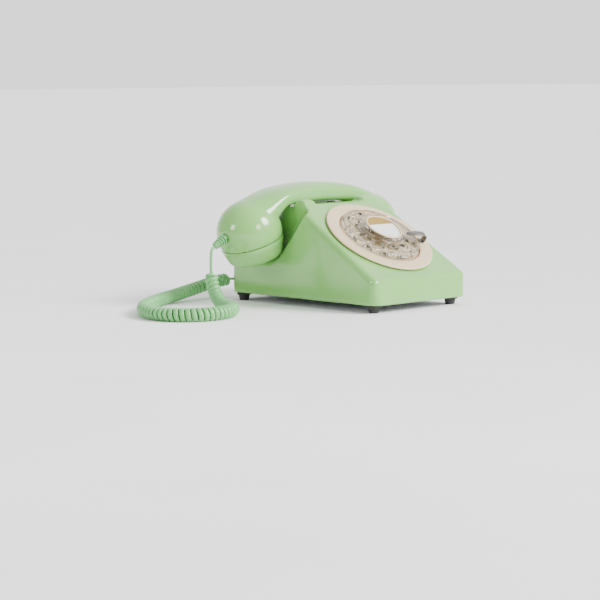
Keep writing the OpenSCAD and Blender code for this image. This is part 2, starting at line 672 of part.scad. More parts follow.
module circuit_board() color("#2f6b45") {
    difference() {
        translate(board_at) cube(board);
        for (x = [4, board[0] - 4], y = [4, board[1] - 4]) translate(board_at + [x, y, -over])
            cylinder(r = 1.5, h = 4, $fn = 24);
    }
    for (x = [4, board[0] - 4], y = [4, board[1] - 4])
        translate([board_at[0] + x, board_at[1] + y, z_inside]) {
        cylinder(r = 2.6, h = 3, $fn = 24);
        cylinder(r = 1.4, h = 6.5, $fn = 24);
    }
}

z_board = board_at[2] + board[2];
module induction_coil() color("#444a52") {
    translate([-34, -32, z_board]) cube([20, 4, 14]);
    translate([-34, -18, z_board]) cube([20, 4, 14]);
    translate([-32, -28, z_board + 1]) cube([16, 10, 12]);
}
module capacitor() color("#d8b85a") translate([-4, -38, z_board + 5]) rotate([0, 90, 0])
    cylinder(r = 5, h = 26, $fn = 48);
module terminal_block() color("#e9e4d8") difference() {
    translate([-8, -24, z_board]) cube([44, 10, 7]);
    for (i = [0 : 4]) translate([-3.5 + i * 8.8, -19, z_board + 3]) cylinder(r = 2, h = 6, $fn = 24);
}

// ======== handset ========

function top_z(x) = handset_top - top_arc_r + sqrt(pow(top_arc_r, 2) - x * x);
function under_z(x) = handle_under - under_arc_r + sqrt(pow(under_arc_r, 2) - x * x);
function half_width(x) = handle_w / 2 + 1.5 * pow(x / ball_x, 2);

// From 0 along the handle to 1 at its end inside the ball
function into_ball(x) = let (t = max(0, (abs(x) - neck_x) / (handle_end - neck_x))) t * t * (3 - 2 * t);

// Rounded section of the handle at one place along it
section_points = 24;
function section(x) = let (
    b = into_ball(x),
    top = top_z(x) - 0.4 * b,
    low = under_z(x) * (1 - b) + (ball_z - 12) * b,
    mid = (top + low) / 2,
    half = (top - low) / 2,
    square = 0.8 + 0.2 * b,
    wide = half_width(x) + (ball_r - half_width(x) - 5) * b
) [
    for (k = [0 : section_points - 1]) let (a = 360 * k / section_points) [
        x,
        handset_y + wide * sign(cos(a)) * pow(abs(cos(a)), square),
        mid + half * sign(sin(a)) * pow(abs(sin(a)), square),
    ],
];

module handle_loft() {
    steps = 16;
    stations = [for (i = [-steps : steps]) i * handle_end / steps];
    n = section_points;
    last = (len(stations) - 1) * n;
    polyhedron(
        [for (x = stations) each section(x)],
        concat(
            [[for (k = [0 : n - 1]) k]],
            [for (i = [0 : len(stations) - 2], k = [0 : n - 1])
                [i * n + k, i * n + n + k, i * n + n + (k + 1) % n, i * n + (k + 1) % n]],
            [[for (k = [n - 1 : -1 : 0]) last + k]]
        ),
        convexity = 6
    );
}

// Frame of one end: the origin at the ball's centre and Z along the cap's axis, out of the face
module end_place(s) translate([s * ball_x, handset_y, ball_z]) rotate([0, 180 + s * cap_tilt, 0]) children();

// Frame of the strain relief: the origin at its root in the ball and Z along the cable, outwards
module relief_place() translate([1 - handset_len / 2, handset_y, relief_root])
    rotate([0, -90 - relief_tilt, 0]) children();

module handset_handle() color(green) difference() {
    union() {
        handle_loft();
        for (s = [-1, 1]) translate([s * ball_x, handset_y, ball_z]) sphere(r = ball_r, $fn = 96);
    }
    for (s = [-1, 1]) end_place(s) {
        translate([0, 0, seam_d]) cylinder(r = ball_r + 8, h = 50, $fn = 96);
        sphere(r = ball_r - shell, $fn = 96);
    }
    relief_place() translate([0, 0, -8]) cylinder(r = relief_core_r + fit, h = 16, $fn = 48);
}

// Outline of a cap, moved in by the given amount, from the seam to the middle of the flat face
seam_r = sqrt(pow(ball_r, 2) - pow(seam_d, 2));
function cap_outline(inset) = [
    [seam_r - inset, seam_d + fit / 2], [seam_r - 1 - inset, seam_d + 6],
    [seam_r - 3.2 - inset, face_d - 5.4],
    [face_r + 2 - inset * 0.7, face_d - 1.8 - inset * 0.7], [face_r - inset * 0.4, face_d - 0.3 - inset],
    [0, face_d - inset],
];

module handset_cap(s) end_place(s) difference() {
    rotate_extrude($fn = 96) polygon(concat(
        cap_outline(0),
        [for (i = [len(cap_outline(0)) - 1 : -1 : 0]) cap_outline(shell)[i]]
    ));
    translate([0, 0, face_d - 2 * shell]) {
        cylinder(r = 1, h = 3 * shell, $fn = 16);
        for (a = [0 : 60 : 300]) rotate([0, 0, a]) translate([4.5, 0, 0])
            cylinder(r = 1, h = 3 * shell, $fn = 16);
    }
}
module mouthpiece_cap() color(green) handset_cap(-1);
module earpiece_cap() color(green) handset_cap(1);

// Capsule behind a cap's sound holes, with a smaller boss at its back
capsule_front = face_d - shell - 1;
module capsule(s, r, h) end_place(s) {
    translate([0, 0, capsule_front - h]) cylinder(r = r, h = h, $fn = 64);
    translate([0, 0, capsule_front - h - 3]) cylinder(r = r * 0.6, h = 3, $fn = 64);
}
module microphone_capsule() color("#b0b3b6") capsule(-1, face_r - 2, 9);
module receiver_capsule() color("#8f9497") capsule(1, face_r - 3, 11);

relief_ribs = 5;
rib_start = 2.8;    // the first rib stands just clear of the ball
rib_pitch = (relief_len - rib_start) / relief_ribs;
module handset_strain_relief() color("#a9d6a8") relief_place() difference() {
    union() {
        translate([0, 0, -3]) cylinder(r = relief_core_r, h = relief_len + 3, $fn = 48);
        for (i = [0 : relief_ribs - 1]) translate([0, 0, rib_start + i * rib_pitch])
            cylinder(r1 = 4.5 - i * 0.3, r2 = 4.2 - i * 0.3, h = 1.8, $fn = 48);
    }
    translate([0, 0, -4]) cylinder(r = cable_d / 2 + slip, h = relief_len + 8, $fn = 32);
}

// ======== cord ========

module cord_lead() color("#a9d6a8") tube(curve(lead_route, 3), cable_d / 2, 8);
module cord_curl() color("#a9d6a8") tube(curve(curl_route, 3), curl_d / 2, 12);
module cord_tail() color("#a9d6a8") tube(curve(tail_route, 3), cable_d / 2, 8, [0, 0.01, 1]);

// ======== nodes ========

case_shell();
base_plate();
rubber_feet();
case_screws();
line_socket();
cord_gland();
dial_bezel();
dial_number_plate();
dial_front_plate();
dial_bridge_plate();
dial_pillars();
finger_stop();
finger_stop_screw();
finger_wheel();
label_card();
label_window();
label_ring();
dial_spindle();
main_gear();
mainspring();
pinion_shaft();
governor_gear();
impulse_cam();
governor_shaft();
governor_weights();
governor_cup();
impulse_contacts();
plunger_left();
plunger_right();
plunger_bar();
switch_bracket();
switch_lever();
switch_lever_pin();
switch_spring();
switch_contacts();
bell_gong_left();
bell_gong_right();
bell_posts();
ringer_frame();
ringer_coils();
clapper_arm();
clapper_pin();
circuit_board();
induction_coil();
capacitor();
terminal_block();
handset_handle();
mouthpiece_cap();
earpiece_cap();
microphone_capsule();
receiver_capsule();
handset_strain_relief();
cord_lead();
cord_curl();
cord_tail();
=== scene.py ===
import json
import math

import bmesh
import bpy
import numpy as np
from bpy.props import FloatProperty, IntProperty, PointerProperty, StringProperty
from mathutils import Matrix, Vector


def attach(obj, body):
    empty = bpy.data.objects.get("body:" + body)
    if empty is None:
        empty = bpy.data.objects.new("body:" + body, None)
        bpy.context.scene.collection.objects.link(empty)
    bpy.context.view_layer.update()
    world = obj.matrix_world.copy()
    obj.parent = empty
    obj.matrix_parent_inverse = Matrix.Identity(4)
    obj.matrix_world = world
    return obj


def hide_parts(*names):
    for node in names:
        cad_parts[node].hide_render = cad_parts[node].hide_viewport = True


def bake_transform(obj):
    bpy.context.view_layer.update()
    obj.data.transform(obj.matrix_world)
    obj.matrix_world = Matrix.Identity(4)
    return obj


bl_info = {
    "name": "Rotary desk telephone",
    "version": (1, 0, 0),
    "blender": (4, 5, 0),
    "location": "View3D > Sidebar > Telephone",
    "description": "Finishes the packed telephone with detailed pieces and materials",
    "category": "Object",
}

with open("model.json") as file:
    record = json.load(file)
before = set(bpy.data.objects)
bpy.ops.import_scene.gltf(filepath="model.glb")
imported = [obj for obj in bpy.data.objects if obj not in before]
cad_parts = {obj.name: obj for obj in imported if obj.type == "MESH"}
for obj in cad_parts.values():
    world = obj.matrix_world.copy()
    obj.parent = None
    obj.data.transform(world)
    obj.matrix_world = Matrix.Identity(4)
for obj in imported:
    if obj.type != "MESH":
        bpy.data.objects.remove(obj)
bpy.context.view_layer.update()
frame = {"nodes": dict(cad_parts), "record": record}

MM = 0.001


# ======== colour and nodes ========

def linear(code):
    """Linear RGBA of an sRGB hex colour."""
    out = []
    for k in (0, 2, 4):
        c = int(code[k:k + 2], 16) / 255
        out.append(c / 12.92 if c <= 0.04045 else ((c + 0.055) / 1.055) ** 2.4)
    return (*out, 1.0)


def add(tree, kind, inputs=None, **settings):
    """Adds a node with its settings; an input is a value, or an output socket to link from."""
    made = tree.nodes.new(kind)
    for key, value in settings.items():
        setattr(made, key, value)
    for key, value in (inputs or {}).items():
        if isinstance(value, bpy.types.NodeSocket):
            tree.links.new(value, made.inputs[key])
        else:
            made.inputs[key].default_value = value
    return made


def new_material(name):
    """A material with an empty node tree."""
    material = bpy.data.materials.new(name)
    material.use_nodes = True
    material.node_tree.nodes.clear()
    return material, material.node_tree


def close(tree, surface):
    """Links a shader to the material's output."""
    add(tree, "ShaderNodeOutputMaterial", {"Surface": surface})


def stepped(tree, value, stops, interpolation="LINEAR"):
    """A colour ramp with the given (position, colour) stops."""
    ramp = add(tree, "ShaderNodeValToRGB", {"Fac": value})
    ramp.color_ramp.interpolation = interpolation
    while len(ramp.color_ramp.elements) < len(stops):
        ramp.color_ramp.elements.new(0.5)
    for element, (position, colour) in zip(ramp.color_ramp.elements, stops):
        element.position = position
        element.color = colour
    return ramp.outputs["Color"]


def grey(value):
    """A grey as a ramp colour."""
    return (value, value, value, 1.0)


# ======== materials ========
# Pattern scales are in waves per metre, worked out from a real size in millimetres.

def per_mm(size):
    """Noise scale whose features are about that many millimetres wide."""
    return 1 / (size * MM)


def plastic(name, base, shade, roughness, grain_mm, grain_height, coat=0.0, ior=1.5, soft=0.0, soft_colour=None):
    """A moulded or turned plastic: slow drift of its colour, fine surface waviness, and wipe marks in its gloss."""
    material, tree = new_material(name)
    place = add(tree, "ShaderNodeTexCoord").outputs["Object"]
    drift = add(tree, "ShaderNodeTexNoise", {"Vector": place, "Scale": per_mm(45), "Detail": 3.0, "Roughness": 0.5})
    colour = stepped(tree, drift.outputs["Fac"], [(0.3, linear(shade)), (0.7, linear(base))])
    wipe = add(tree, "ShaderNodeTexNoise", {"Vector": place, "Scale": per_mm(18), "Detail": 6.0, "Roughness": 0.65})
    rough = stepped(tree, wipe.outputs["Fac"], [(0.35, grey(roughness * 0.85)), (0.75, grey(roughness * 1.25))])
    waves = add(tree, "ShaderNodeTexNoise", {"Vector": place, "Scale": per_mm(grain_mm), "Detail": 2.0})
    bump = add(tree, "ShaderNodeBump", {
        "Height": waves.outputs["Fac"], "Strength": 0.25, "Distance": grain_height * MM,
    })
    shader = add(tree, "ShaderNodeBsdfPrincipled", {
        "Base Color": colour, "Roughness": rough, "Normal": bump.outputs["Normal"], "IOR": ior,
        "Coat Weight": coat, "Coat Roughness": 0.08, "Subsurface Weight": soft, "Subsurface Scale": 0.004,
        "Subsurface Radius": soft_colour or (0.6, 1.0, 0.5),
    })
    close(tree, shader.outputs["BSDF"])
    return material


def metal(name, base, dark, roughness, lines_mm, stretch, height):
    """A worked metal: lines of its brushing or turning, and darker patches of handling."""
    material, tree = new_material(name)
    place = add(tree, "ShaderNodeTexCoord").outputs["Object"]
    turned = add(tree, "ShaderNodeMapping", {"Vector": place, "Scale": stretch})
    lines = add(tree, "ShaderNodeTexNoise", {
        "Vector": turned.outputs["Vector"], "Scale": per_mm(lines_mm), "Detail": 4.0, "Roughness": 0.6,
    })
    patch = add(tree, "ShaderNodeTexNoise", {"Vector": place, "Scale": per_mm(9), "Detail": 4.0})
    colour = stepped(tree, patch.outputs["Fac"], [(0.3, linear(dark)), (0.65, linear(base))])
    rough = stepped(tree, lines.outputs["Fac"], [(0.3, grey(roughness * 0.75)), (0.7, grey(roughness * 1.3))])
    bump = add(tree, "ShaderNodeBump", {"Height": lines.outputs["Fac"], "Strength": 0.3, "Distance": height * MM})
    shader = add(tree, "ShaderNodeBsdfPrincipled", {
        "Base Color": colour, "Metallic": 1.0, "Roughness": rough, "Normal": bump.outputs["Normal"],
    })
    close(tree, shader.outputs["BSDF"])
    return material


def clear_acrylic():
    """Cast acrylic, polished: clear with a faint warm tint, and fine scratches from fingertips."""
    material, tree = new_material("polished_clear_acrylic")
    place = add(tree, "ShaderNodeTexCoord").outputs["Object"]
    wipe = add(tree, "ShaderNodeTexNoise", {"Vector": place, "Scale": per_mm(6), "Detail": 6.0})
    rough = stepped(tree, wipe.outputs["Fac"], [(0.35, grey(0.02)), (0.8, grey(0.09))])
    waves = add(tree, "ShaderNodeTexNoise", {"Vector": place, "Scale": per_mm(5), "Detail": 1.0})
    bump = add(tree, "ShaderNodeBump", {"Height": waves.outputs["Fac"], "Strength": 0.2, "Distance": 0.05 * MM})
    shader = add(tree, "ShaderNodeBsdfPrincipled", {
        "Base Color": linear("F2EADB"), "Roughness": rough, "Normal": bump.outputs["Normal"],
        "IOR": 1.49, "Transmission Weight": 1.0,
    })
    close(tree, shader.outputs["BSDF"])
    return material


def window_acetate():
    """Thin clear acetate over the label: almost unseen but for its gloss."""
    material, tree = new_material("clear_acetate_window")
    place = add(tree, "ShaderNodeTexCoord").outputs["Object"]
    wipe = add(tree, "ShaderNodeTexNoise", {"Vector": place, "Scale": per_mm(8), "Detail": 5.0})
    rough = stepped(tree, wipe.outputs["Fac"], [(0.35, grey(0.03)), (0.8, grey(0.12))])
    shader = add(tree, "ShaderNodeBsdfPrincipled", {
        "Base Color": linear("FFFFFF"), "Roughness": rough, "IOR": 1.47, "Alpha": 0.03,
    })
    close(tree, shader.outputs["BSDF"])
    return material


def label_paper():
    """Coated paper, printed: white with a gold band across its upper part, and the paper's faint fibre."""
    material, tree = new_material("printed_label_paper")
    place = add(tree, "ShaderNodeTexCoord").outputs["Object"]
    on_dial = add(tree, "ShaderNodeMapping", {
        "Vector": place, "Location": DIAL_PLACE.translation, "Rotation": (DIAL_TILT, 0, 0),
    }, vector_type="TEXTURE")
    height = add(tree, "ShaderNodeSeparateXYZ", {"Vector": on_dial.outputs["Vector"]}).outputs["Y"]
    band = add(tree, "ShaderNodeMapRange", {
        "Value": height, "From Min": 5.2 * MM, "From Max": 5.9 * MM,
    }).outputs["Result"]
    fibre = add(tree, "ShaderNodeTexNoise", {"Vector": place, "Scale": per_mm(1.2), "Detail": 5.0})
    gold = stepped(tree, fibre.outputs["Fac"], [(0.3, linear("967600")), (0.7, linear("AE8C00"))])
    white = stepped(tree, fibre.outputs["Fac"], [(0.3, linear("EEEEE9")), (0.7, linear("F8F8F5"))])
    mix = add(tree, "ShaderNodeMix", {0: band, 6: white, 7: gold}, data_type="RGBA")
    bump = add(tree, "ShaderNodeBump", {"Height": fibre.outputs["Fac"], "Strength": 0.15, "Distance": 0.02 * MM})
    shader = add(tree, "ShaderNodeBsdfPrincipled", {
        "Base Color": mix.outputs[2], "Roughness": 0.45, "Normal": bump.outputs["Normal"], "IOR": 1.5,
        "Specular IOR Level": 0.15,
    })
    close(tree, shader.outputs["BSDF"])
    return material


def number_plate_print():
    """Sprayed plate under the wheel: warm off-white, darker and coppery at its rim, a printed ring line."""
    material, tree = new_material("sprayed_number_plate")
    place = add(tree, "ShaderNodeTexCoord").outputs["Object"]
    on_dial = add(tree, "ShaderNodeMapping", {
        "Vector": place, "Location": DIAL_PLACE.translation, "Rotation": (DIAL_TILT, 0, 0),
    }, vector_type="TEXTURE")
    flat = add(tree, "ShaderNodeVectorMath", {0: on_dial.outputs["Vector"], 1: (1, 1, 0)}, operation="MULTIPLY")
    radius = add(tree, "ShaderNodeVectorMath", {0: flat.outputs["Vector"]}, operation="LENGTH").outputs["Value"]
    share = add(tree, "ShaderNodeMapRange", {
        "Value": radius, "From Min": 0.0, "From Max": 40 * MM,
    }).outputs["Result"]
    rings = stepped(tree, share, [
        (0.0, linear("C4B594")), (0.50, linear("C4B594")), (0.53, linear("D6CAAE")), (0.885, linear("D6CAAE")),
        (0.895, linear("8F8268")), (0.91, linear("D6CAAE")), (0.955, linear("CDBD99")), (0.985, linear("9A6A45")),
    ])
    speck = add(tree, "ShaderNodeTexNoise", {"Vector": place, "Scale": per_mm(0.8), "Detail": 3.0})
    bump = add(tree, "ShaderNodeBump", {"Height": speck.outputs["Fac"], "Strength": 0.2, "Distance": 0.03 * MM})
    shader = add(tree, "ShaderNodeBsdfPrincipled", {
        "Base Color": rings, "Roughness": 0.42, "Normal": bump.outputs["Normal"], "IOR": 1.5,
    })
    close(tree, shader.outputs["BSDF"])
    return material


def copper_windings():
    """Enamelled copper wire, wound: close dark red-brown turns."""
    material, tree = new_material("enamelled_copper_wire")
    place = add(tree, "ShaderNodeTexCoord").outputs["Object"]
    turns = add(tree, "ShaderNodeTexWave", {
        "Vector": place, "Scale": per_mm(0.7) / (2 * math.pi), "Distortion": 0.3, "Detail": 1.0,
    }, bands_direction="X")
    colour = stepped(tree, turns.outputs["Fac"], [(0.2, linear("4A1E10")), (0.8, linear("A8562F"))])
    bump = add(tree, "ShaderNodeBump", {"Height": turns.outputs["Fac"], "Strength": 0.6, "Distance": 0.2 * MM})
    shader = add(tree, "ShaderNodeBsdfPrincipled", {
        "Base Color": colour, "Roughness": 0.3, "Normal": bump.outputs["Normal"], "IOR": 1.55, "Metallic": 0.35,
    })
    close(tree, shader.outputs["BSDF"])
    return material


def floor_paint():
    """Plain pale paint."""
    material, tree = new_material("pale_floor")
    place = add(tree, "ShaderNodeTexCoord").outputs["Object"]
    grain = add(tree, "ShaderNodeTexNoise", {"Vector": place, "Scale": per_mm(200), "Detail": 2.0})
    colour = stepped(tree, grain.outputs["Fac"], [(0.3, linear("FAFAFA")), (0.7, linear("FFFFFF"))])
    shader = add(tree, "ShaderNodeBsdfPrincipled", {"Base Color": colour, "Roughness": 0.9, "Specular IOR Level": 0.0})
    close(tree, shader.outputs["BSDF"])
    return material


def build_materials(tints):
    """Every finish on the telephone, under the name of its slot in the record."""
    green, shade = tints.case_green, tints.case_green_shade
    made = {
        # Injection-moulded ABS: hard, glossy, a little see-through at its thin edges, with soft sink waves
        "green_abs": plastic("moulded_green_abs", green, shade, 0.17, 14, 0.05, coat=0.35, ior=1.5),
        # Injection-moulded ABS, cream: yellowed a little, less glossy than the case
        "cream_abs": plastic("moulded_cream_abs", tints.surround_cream, "DCC5A0", 0.34, 10, 0.06, ior=1.54),
        "clear_acrylic": clear_acrylic(),
        "label_paper": label_paper(),
        "window_clear": window_acetate(),
        "number_print": number_plate_print(),
        # Pressed zinc plate, blackened and buffed: dark where it reflects nothing, bright where it faces the dial
        "dark_zinc": metal("blackened_zinc_plate", "8C8A86", "5E5C59", 0.2, 0.5, (1, 12, 1), 0.01),
        # Rolled steel with clear zinc plating: cool grey with a drawn grain
        "steel": metal("zinc_plated_steel", "C3C6C8", "9A9DA1", 0.32, 0.6, (1, 10, 1), 0.02),
        # Turned brass, unlacquered: warm yellow with fine rings
        "brass": metal("turned_brass", "D8B565", "A98640", 0.26, 0.5, (1, 1, 8), 0.015),
        # Drawn and blued spring steel: dark, smooth
        "spring_steel": metal("blued_spring_steel", "7F848A", "4A4F57", 0.28, 0.5, (6, 1, 1), 0.01),
        # Moulded rubber: black, dull, with a fine mould texture
        "black_rubber": plastic("moulded_black_rubber", "343434", "262626", 0.62, 0.9, 0.06, ior=1.52),
        # Compression-moulded phenolic: near black, satin
        "black_plastic": plastic("moulded_black_phenolic", "1F1F21", "141416", 0.38, 3, 0.03, ior=1.55),
        # Turned nylon: milky ivory, satin, light passes a little way in
        "ivory_nylon": plastic("turned_ivory_nylon", "EFEADB", "E0D9C6", 0.36, 2, 0.02, ior=1.53, soft=0.15,
                               soft_colour=(1.0, 0.8, 0.6)),
        "copper_coil": copper_windings(),
        # Spun bell bronze, polished: golden with turning rings
        "bell_bronze": metal("spun_bell_bronze", "CBA96A", "9C7B45", 0.2, 0.4, (1, 1, 10), 0.02),
        # Fibreglass board under solder lacquer: dark green, weave just showing
        "board_green": plastic("lacquered_fibreglass", "2D6B45", "1F4F33", 0.3, 0.8, 0.04, ior=1.5),
        # Laminated iron, lacquered: almost black with a satin sheen
        "iron": metal("laminated_iron", "60646A", "3C4046", 0.45, 0.5, (1, 14, 1), 0.04),
        # Waxed paper and foil: dull amber
        "foil_yellow": plastic("waxed_foil_wrap", "D5B25C", "B4903F", 0.4, 4, 0.1, ior=1.45),
        # Extruded flexible PVC: soft green, satin, slightly uneven from the extruder
        "green_pvc": plastic("extruded_green_pvc", tints.cord_green, tints.cord_green_shade, 0.33, 2.5, 0.08,
                             ior=1.53, soft=0.12),
        # Stamped aluminium: pale, satin
        "capsule_alloy": metal("stamped_aluminium", "CDCFD1", "A9ABAE", 0.3, 0.6, (1, 8, 1), 0.015),
        # Screen-printing ink: charcoal, dull
        "print_ink": plastic("printed_charcoal_ink", "3A3735", "2A2827", 0.5, 1, 0.01, ior=1.48),
    }
    return made


FINISH = {}


# ======== sizes of the object, in millimetres ========

CASE_FRONT_W, CASE_REAR_W, CASE_LEN = 123.0, 116.0, 199.0
FOOT_H, APRON_H, FACE_LEN, FACE_TOP_W = 7.0, 24.0, 119.5, 114.0
FACE_ANGLE = math.radians(31.6)
CRADLE_W, BACK_H, WALL, EDGE_R, CORNER_R = 108.0, 36.0, 2.6, 5.0, 10.0
HANDSET_Y, CRADLE_BACK, TROUGH_DEPTH = 49.0, 38.0, 2.6
HORN_H, HORN_W, HORN_X, SCOOP_GAP = 4.8, 20.0, 41.0, 5.0
GRIP_W, GRIP_H = 72.0, 19.0
Y_FRONT, Y_REAR = -CASE_LEN / 2, CASE_LEN / 2
Z_BOTTOM = FOOT_H
Z_APRON = Z_BOTTOM + APRON_H
Y_FACE = Y_FRONT + 2
Y_LIP = Y_FACE + FACE_LEN * math.cos(FACE_ANGLE)
Z_LIP = Z_APRON + FACE_LEN * math.sin(FACE_ANGLE)
Z_BACK = Z_BOTTOM + BACK_H
Y_BACK_LIP = HANDSET_Y + CRADLE_BACK
Z_TROUGH = Z_LIP - TROUGH_DEPTH
Z_INSIDE = Z_BOTTOM + 1.8
Z_GRIP = Z_TROUGH - WALL - 3.2
Y_GRIP = HANDSET_Y + 13

DIAL_TILT = FACE_ANGLE
DIAL_UP = 61.8
BEZEL_D, WHEEL_D, HOLE_R, LABEL_D = 106.0, 77.0, 28.5, 32.6
DIAL_HOLE_R = BEZEL_D / 2 - 6
BEZEL_IN_R = WHEEL_D / 2 + 1.7
BEZEL_TOP, NUMBER_TOP, WHEEL_UNDER, WHEEL_RIM = 1.8, 0.6, 2.2, 3.4
HUB_R, HUB_TOP, SPINDLE_R = LABEL_D / 2 + 2.4, 10.4, 4.0
FIRST_HOLE, HOLE_STEP, STOP_ANGLE = 48.0, 30.0, 108.0
DIAL_PLACE = Matrix.Translation((
    0, (Y_FACE + DIAL_UP * math.cos(FACE_ANGLE)) * MM, (Z_APRON + DIAL_UP * math.sin(FACE_ANGLE)) * MM,
)) @ Matrix.Rotation(FACE_ANGLE, 4, "X")

HANDSET_LEN, BALL_R, HANDSET_TOP = 217.0, 31.0, 112.5
HANDLE_T, HANDLE_W, SHELL = 18.0, 46.0, 2.4
CAP_TILT = math.radians(20)
TOP_ARC, UNDER_ARC = 258.0, 420.0
BALL_X = HANDSET_LEN / 2 - BALL_R
BALL_Z = HANDSET_TOP - TOP_ARC + math.sqrt((TOP_ARC - BALL_R) ** 2 - BALL_X ** 2)
SEAM_D, FACE_D, FACE_R = 8.8, 26.4, 22.0
HANDLE_END, NECK_X = BALL_X + 9, BALL_X - 34
HANDLE_UNDER = HANDSET_TOP - HANDLE_T
RELIEF_TILT = math.radians(28)
RELIEF_LEN, RELIEF_CORE = 16.0, 2.9
RELIEF_ROOT = BALL_Z - 3
SCOOP_R = BALL_R + SCOOP_GAP
PLUNGER_X, PLUNGER_R = 30.0, 4.0
GLAND_X, SOCKET_X, Z_GLAND = -30.0, 45.0, Z_BOTTOM + 10
CURL_D, CABLE_D = 12.5, 2.6
CURL_EASE = 0.8  # turns over which the curls open out at either end

# The cord's route, as in the CAD source but for the last curls, which run on to the tail's bend
LEAD_ROUTE = [
    (-121.8, 49, 57.2), (-123.7, 49, 55.7), (-125, 49, 53.5), (-125.5, 49, 51), (-125.8, 49, 47.5),
    (-126, 49, 43.5), (-126, 49, 39), (-126, 49, 34),
]
CURL_ROUTE = [
    (-126, 48.9, 33.8), (-126.2, 47, 23.5), (-127.6, 41.1, 14.4), (-130.6, 32.3, 8.5), (-135, 21, 6.3),
    (-141, 7, 6.3), (-151, -8, 6.3), (-166, -19, 6.3), (-184, -23, 6.3), (-202, -19, 6.3),
    (-215, -6, 6.3), (-220, 12, 6.3), (-217, 30, 6.3), (-208, 47, 6.3), (-196, 62, 6.3),
    (-181, 76, 6.3), (-164, 89, 6.3), (-146, 101, 6.3), (-127, 111, 6.5), (-108, 118, 7.6),
    (-90, 121.6, 9.8), (-73, 122.4, 12.6), (-57, 122.6, 15.4), (-38.6, 122.5, 17),
]
TAIL_ROUTE = [
    (-38.4, 122.4, 17), (-34.5, 121.2, 17), (-31.6, 118.4, 17), (-30.3, 114.8, 17),
    (-30, 111, 17), (-30, 107.7, 17),
]


def half_width(x):
    """Half of the handle's width at one place along it."""
    return HANDLE_W / 2 + 1.5 * (x / BALL_X) ** 2


TROUGH_HALF = half_width(FACE_TOP_W / 2) + 0.7


# ======== meshes ========

def put(name, points, faces, smooth_angle=30):
    """A mesh object from points in millimetres; edges sharper than the angle stay crisp."""
    mesh = bpy.data.meshes.new(name)
    mesh.from_pydata([tuple(float(c) * MM for c in p) for p in points], [], faces)
    made = bpy.data.objects.new(name, mesh)
    bpy.context.scene.collection.objects.link(made)
    tidy(made)
    crisp(made, smooth_angle)
    return made


def tidy(made, limit=1e-6):
    """Merges doubles and turns every face outwards."""
    work = bmesh.new()
    work.from_mesh(made.data)
    bmesh.ops.remove_doubles(work, verts=work.verts, dist=limit)
    bmesh.ops.recalc_face_normals(work, faces=work.faces)
    work.to_mesh(made.data)
    work.free()


def crisp(made, angle=30):
    """Smooth shading with crisp edges above the angle."""
    made.data.polygons.foreach_set("use_smooth", [True] * len(made.data.polygons))
    made.data.set_sharp_from_angle(angle=math.radians(angle))
    made.data.update()


def bake(made):
    """Turns the evaluated object into a plain mesh and clears its modifiers."""
    graph = bpy.context.evaluated_depsgraph_get()
    graph.update()
    mesh = bpy.data.meshes.new_from_object(made.evaluated_get(graph))
    made.modifiers.clear()
    made.data = mesh
    return made


def drop(*objects):
    """Removes helper objects."""
    for helper in objects:
        bpy.data.objects.remove(helper)


def join(name, parts):
    """One object from several, as separate closed shells."""
    work = bmesh.new()
    for part in parts:
        work.from_mesh(part.data)
    mesh = bpy.data.meshes.new(name)
    work.to_mesh(mesh)
    work.free()
    made = bpy.data.objects.new(name, mesh)
    bpy.context.scene.collection.objects.link(made)
    drop(*parts)
    return made


def combine(made, tools, operation):
    """Adds, cuts or keeps the common part of closed meshes, one tool after another."""
    for tool in tools:
        step = made.modifiers.new("combine", "BOOLEAN")
        step.operation = operation
        step.solver = "MANIFOLD"
        step.object = tool
        bake(made)
    drop(*tools)
    return made


def moulded(made, grid, rounds):
    """Remeshes to even faces and eases the edges, as a mould's small radii do."""
    step = made.modifiers.new("even", "REMESH")
    step.mode = "VOXEL"
    step.voxel_size = grid * MM
    step.use_smooth_shade = True
    ease = made.modifiers.new("ease", "SMOOTH")
    ease.factor = 0.5
    ease.iterations = rounds
    bake(made)
    crisp(made, 180)
    return made


def bevelled(made, width, segments=3, angle=35, shade=40):
    """Rounds the sharp edges by a width in millimetres."""
    step = made.modifiers.new("round", "BEVEL")
    step.width = width * MM
    step.segments = segments
    step.limit_method = "ANGLE"
    step.angle_limit = math.radians(angle)
    step.use_clamp_overlap = True
    step.harden_normals = False
    bake(made)
    crisp(made, shade)
    return made


def ball(at, radius, rings=48, name="ball"):
    """A closed sphere of quads with its poles on Z."""
    sides = rings * 2
    points = [(at[0], at[1], at[2] + radius)]
    for i in range(1, rings):
        low = math.pi * i / rings
        for k in range(sides):
            turn = 2 * math.pi * k / sides
            points.append((
                at[0] + radius * math.sin(low) * math.cos(turn), at[1] + radius * math.sin(low) * math.sin(turn),
                at[2] + radius * math.cos(low),
            ))
    points.append((at[0], at[1], at[2] - radius))
    last = len(points) - 1
    faces = [(0, 1 + k, 1 + (k + 1) % sides) for k in range(sides)]
    for i in range(rings - 2):
        a = 1 + i * sides
        faces += [(a + k, a + sides + k, a + sides + (k + 1) % sides, a + (k + 1) % sides) for k in range(sides)]
    a = 1 + (rings - 2) * sides
    faces += [(last, a + (k + 1) % sides, a + k) for k in range(sides)]
    return put(name, points, faces)


def block(low, high, name="block"):
    """A box between two corners."""
    x, y, z = zip(low, high)
    points = [(x[i & 1], y[i >> 1 & 1], z[i >> 2 & 1]) for i in range(8)]
    faces = [(0, 2, 3, 1), (4, 5, 7, 6), (0, 1, 5, 4), (2, 6, 7, 3), (0, 4, 6, 2), (1, 3, 7, 5)]
    return put(name, points, faces)


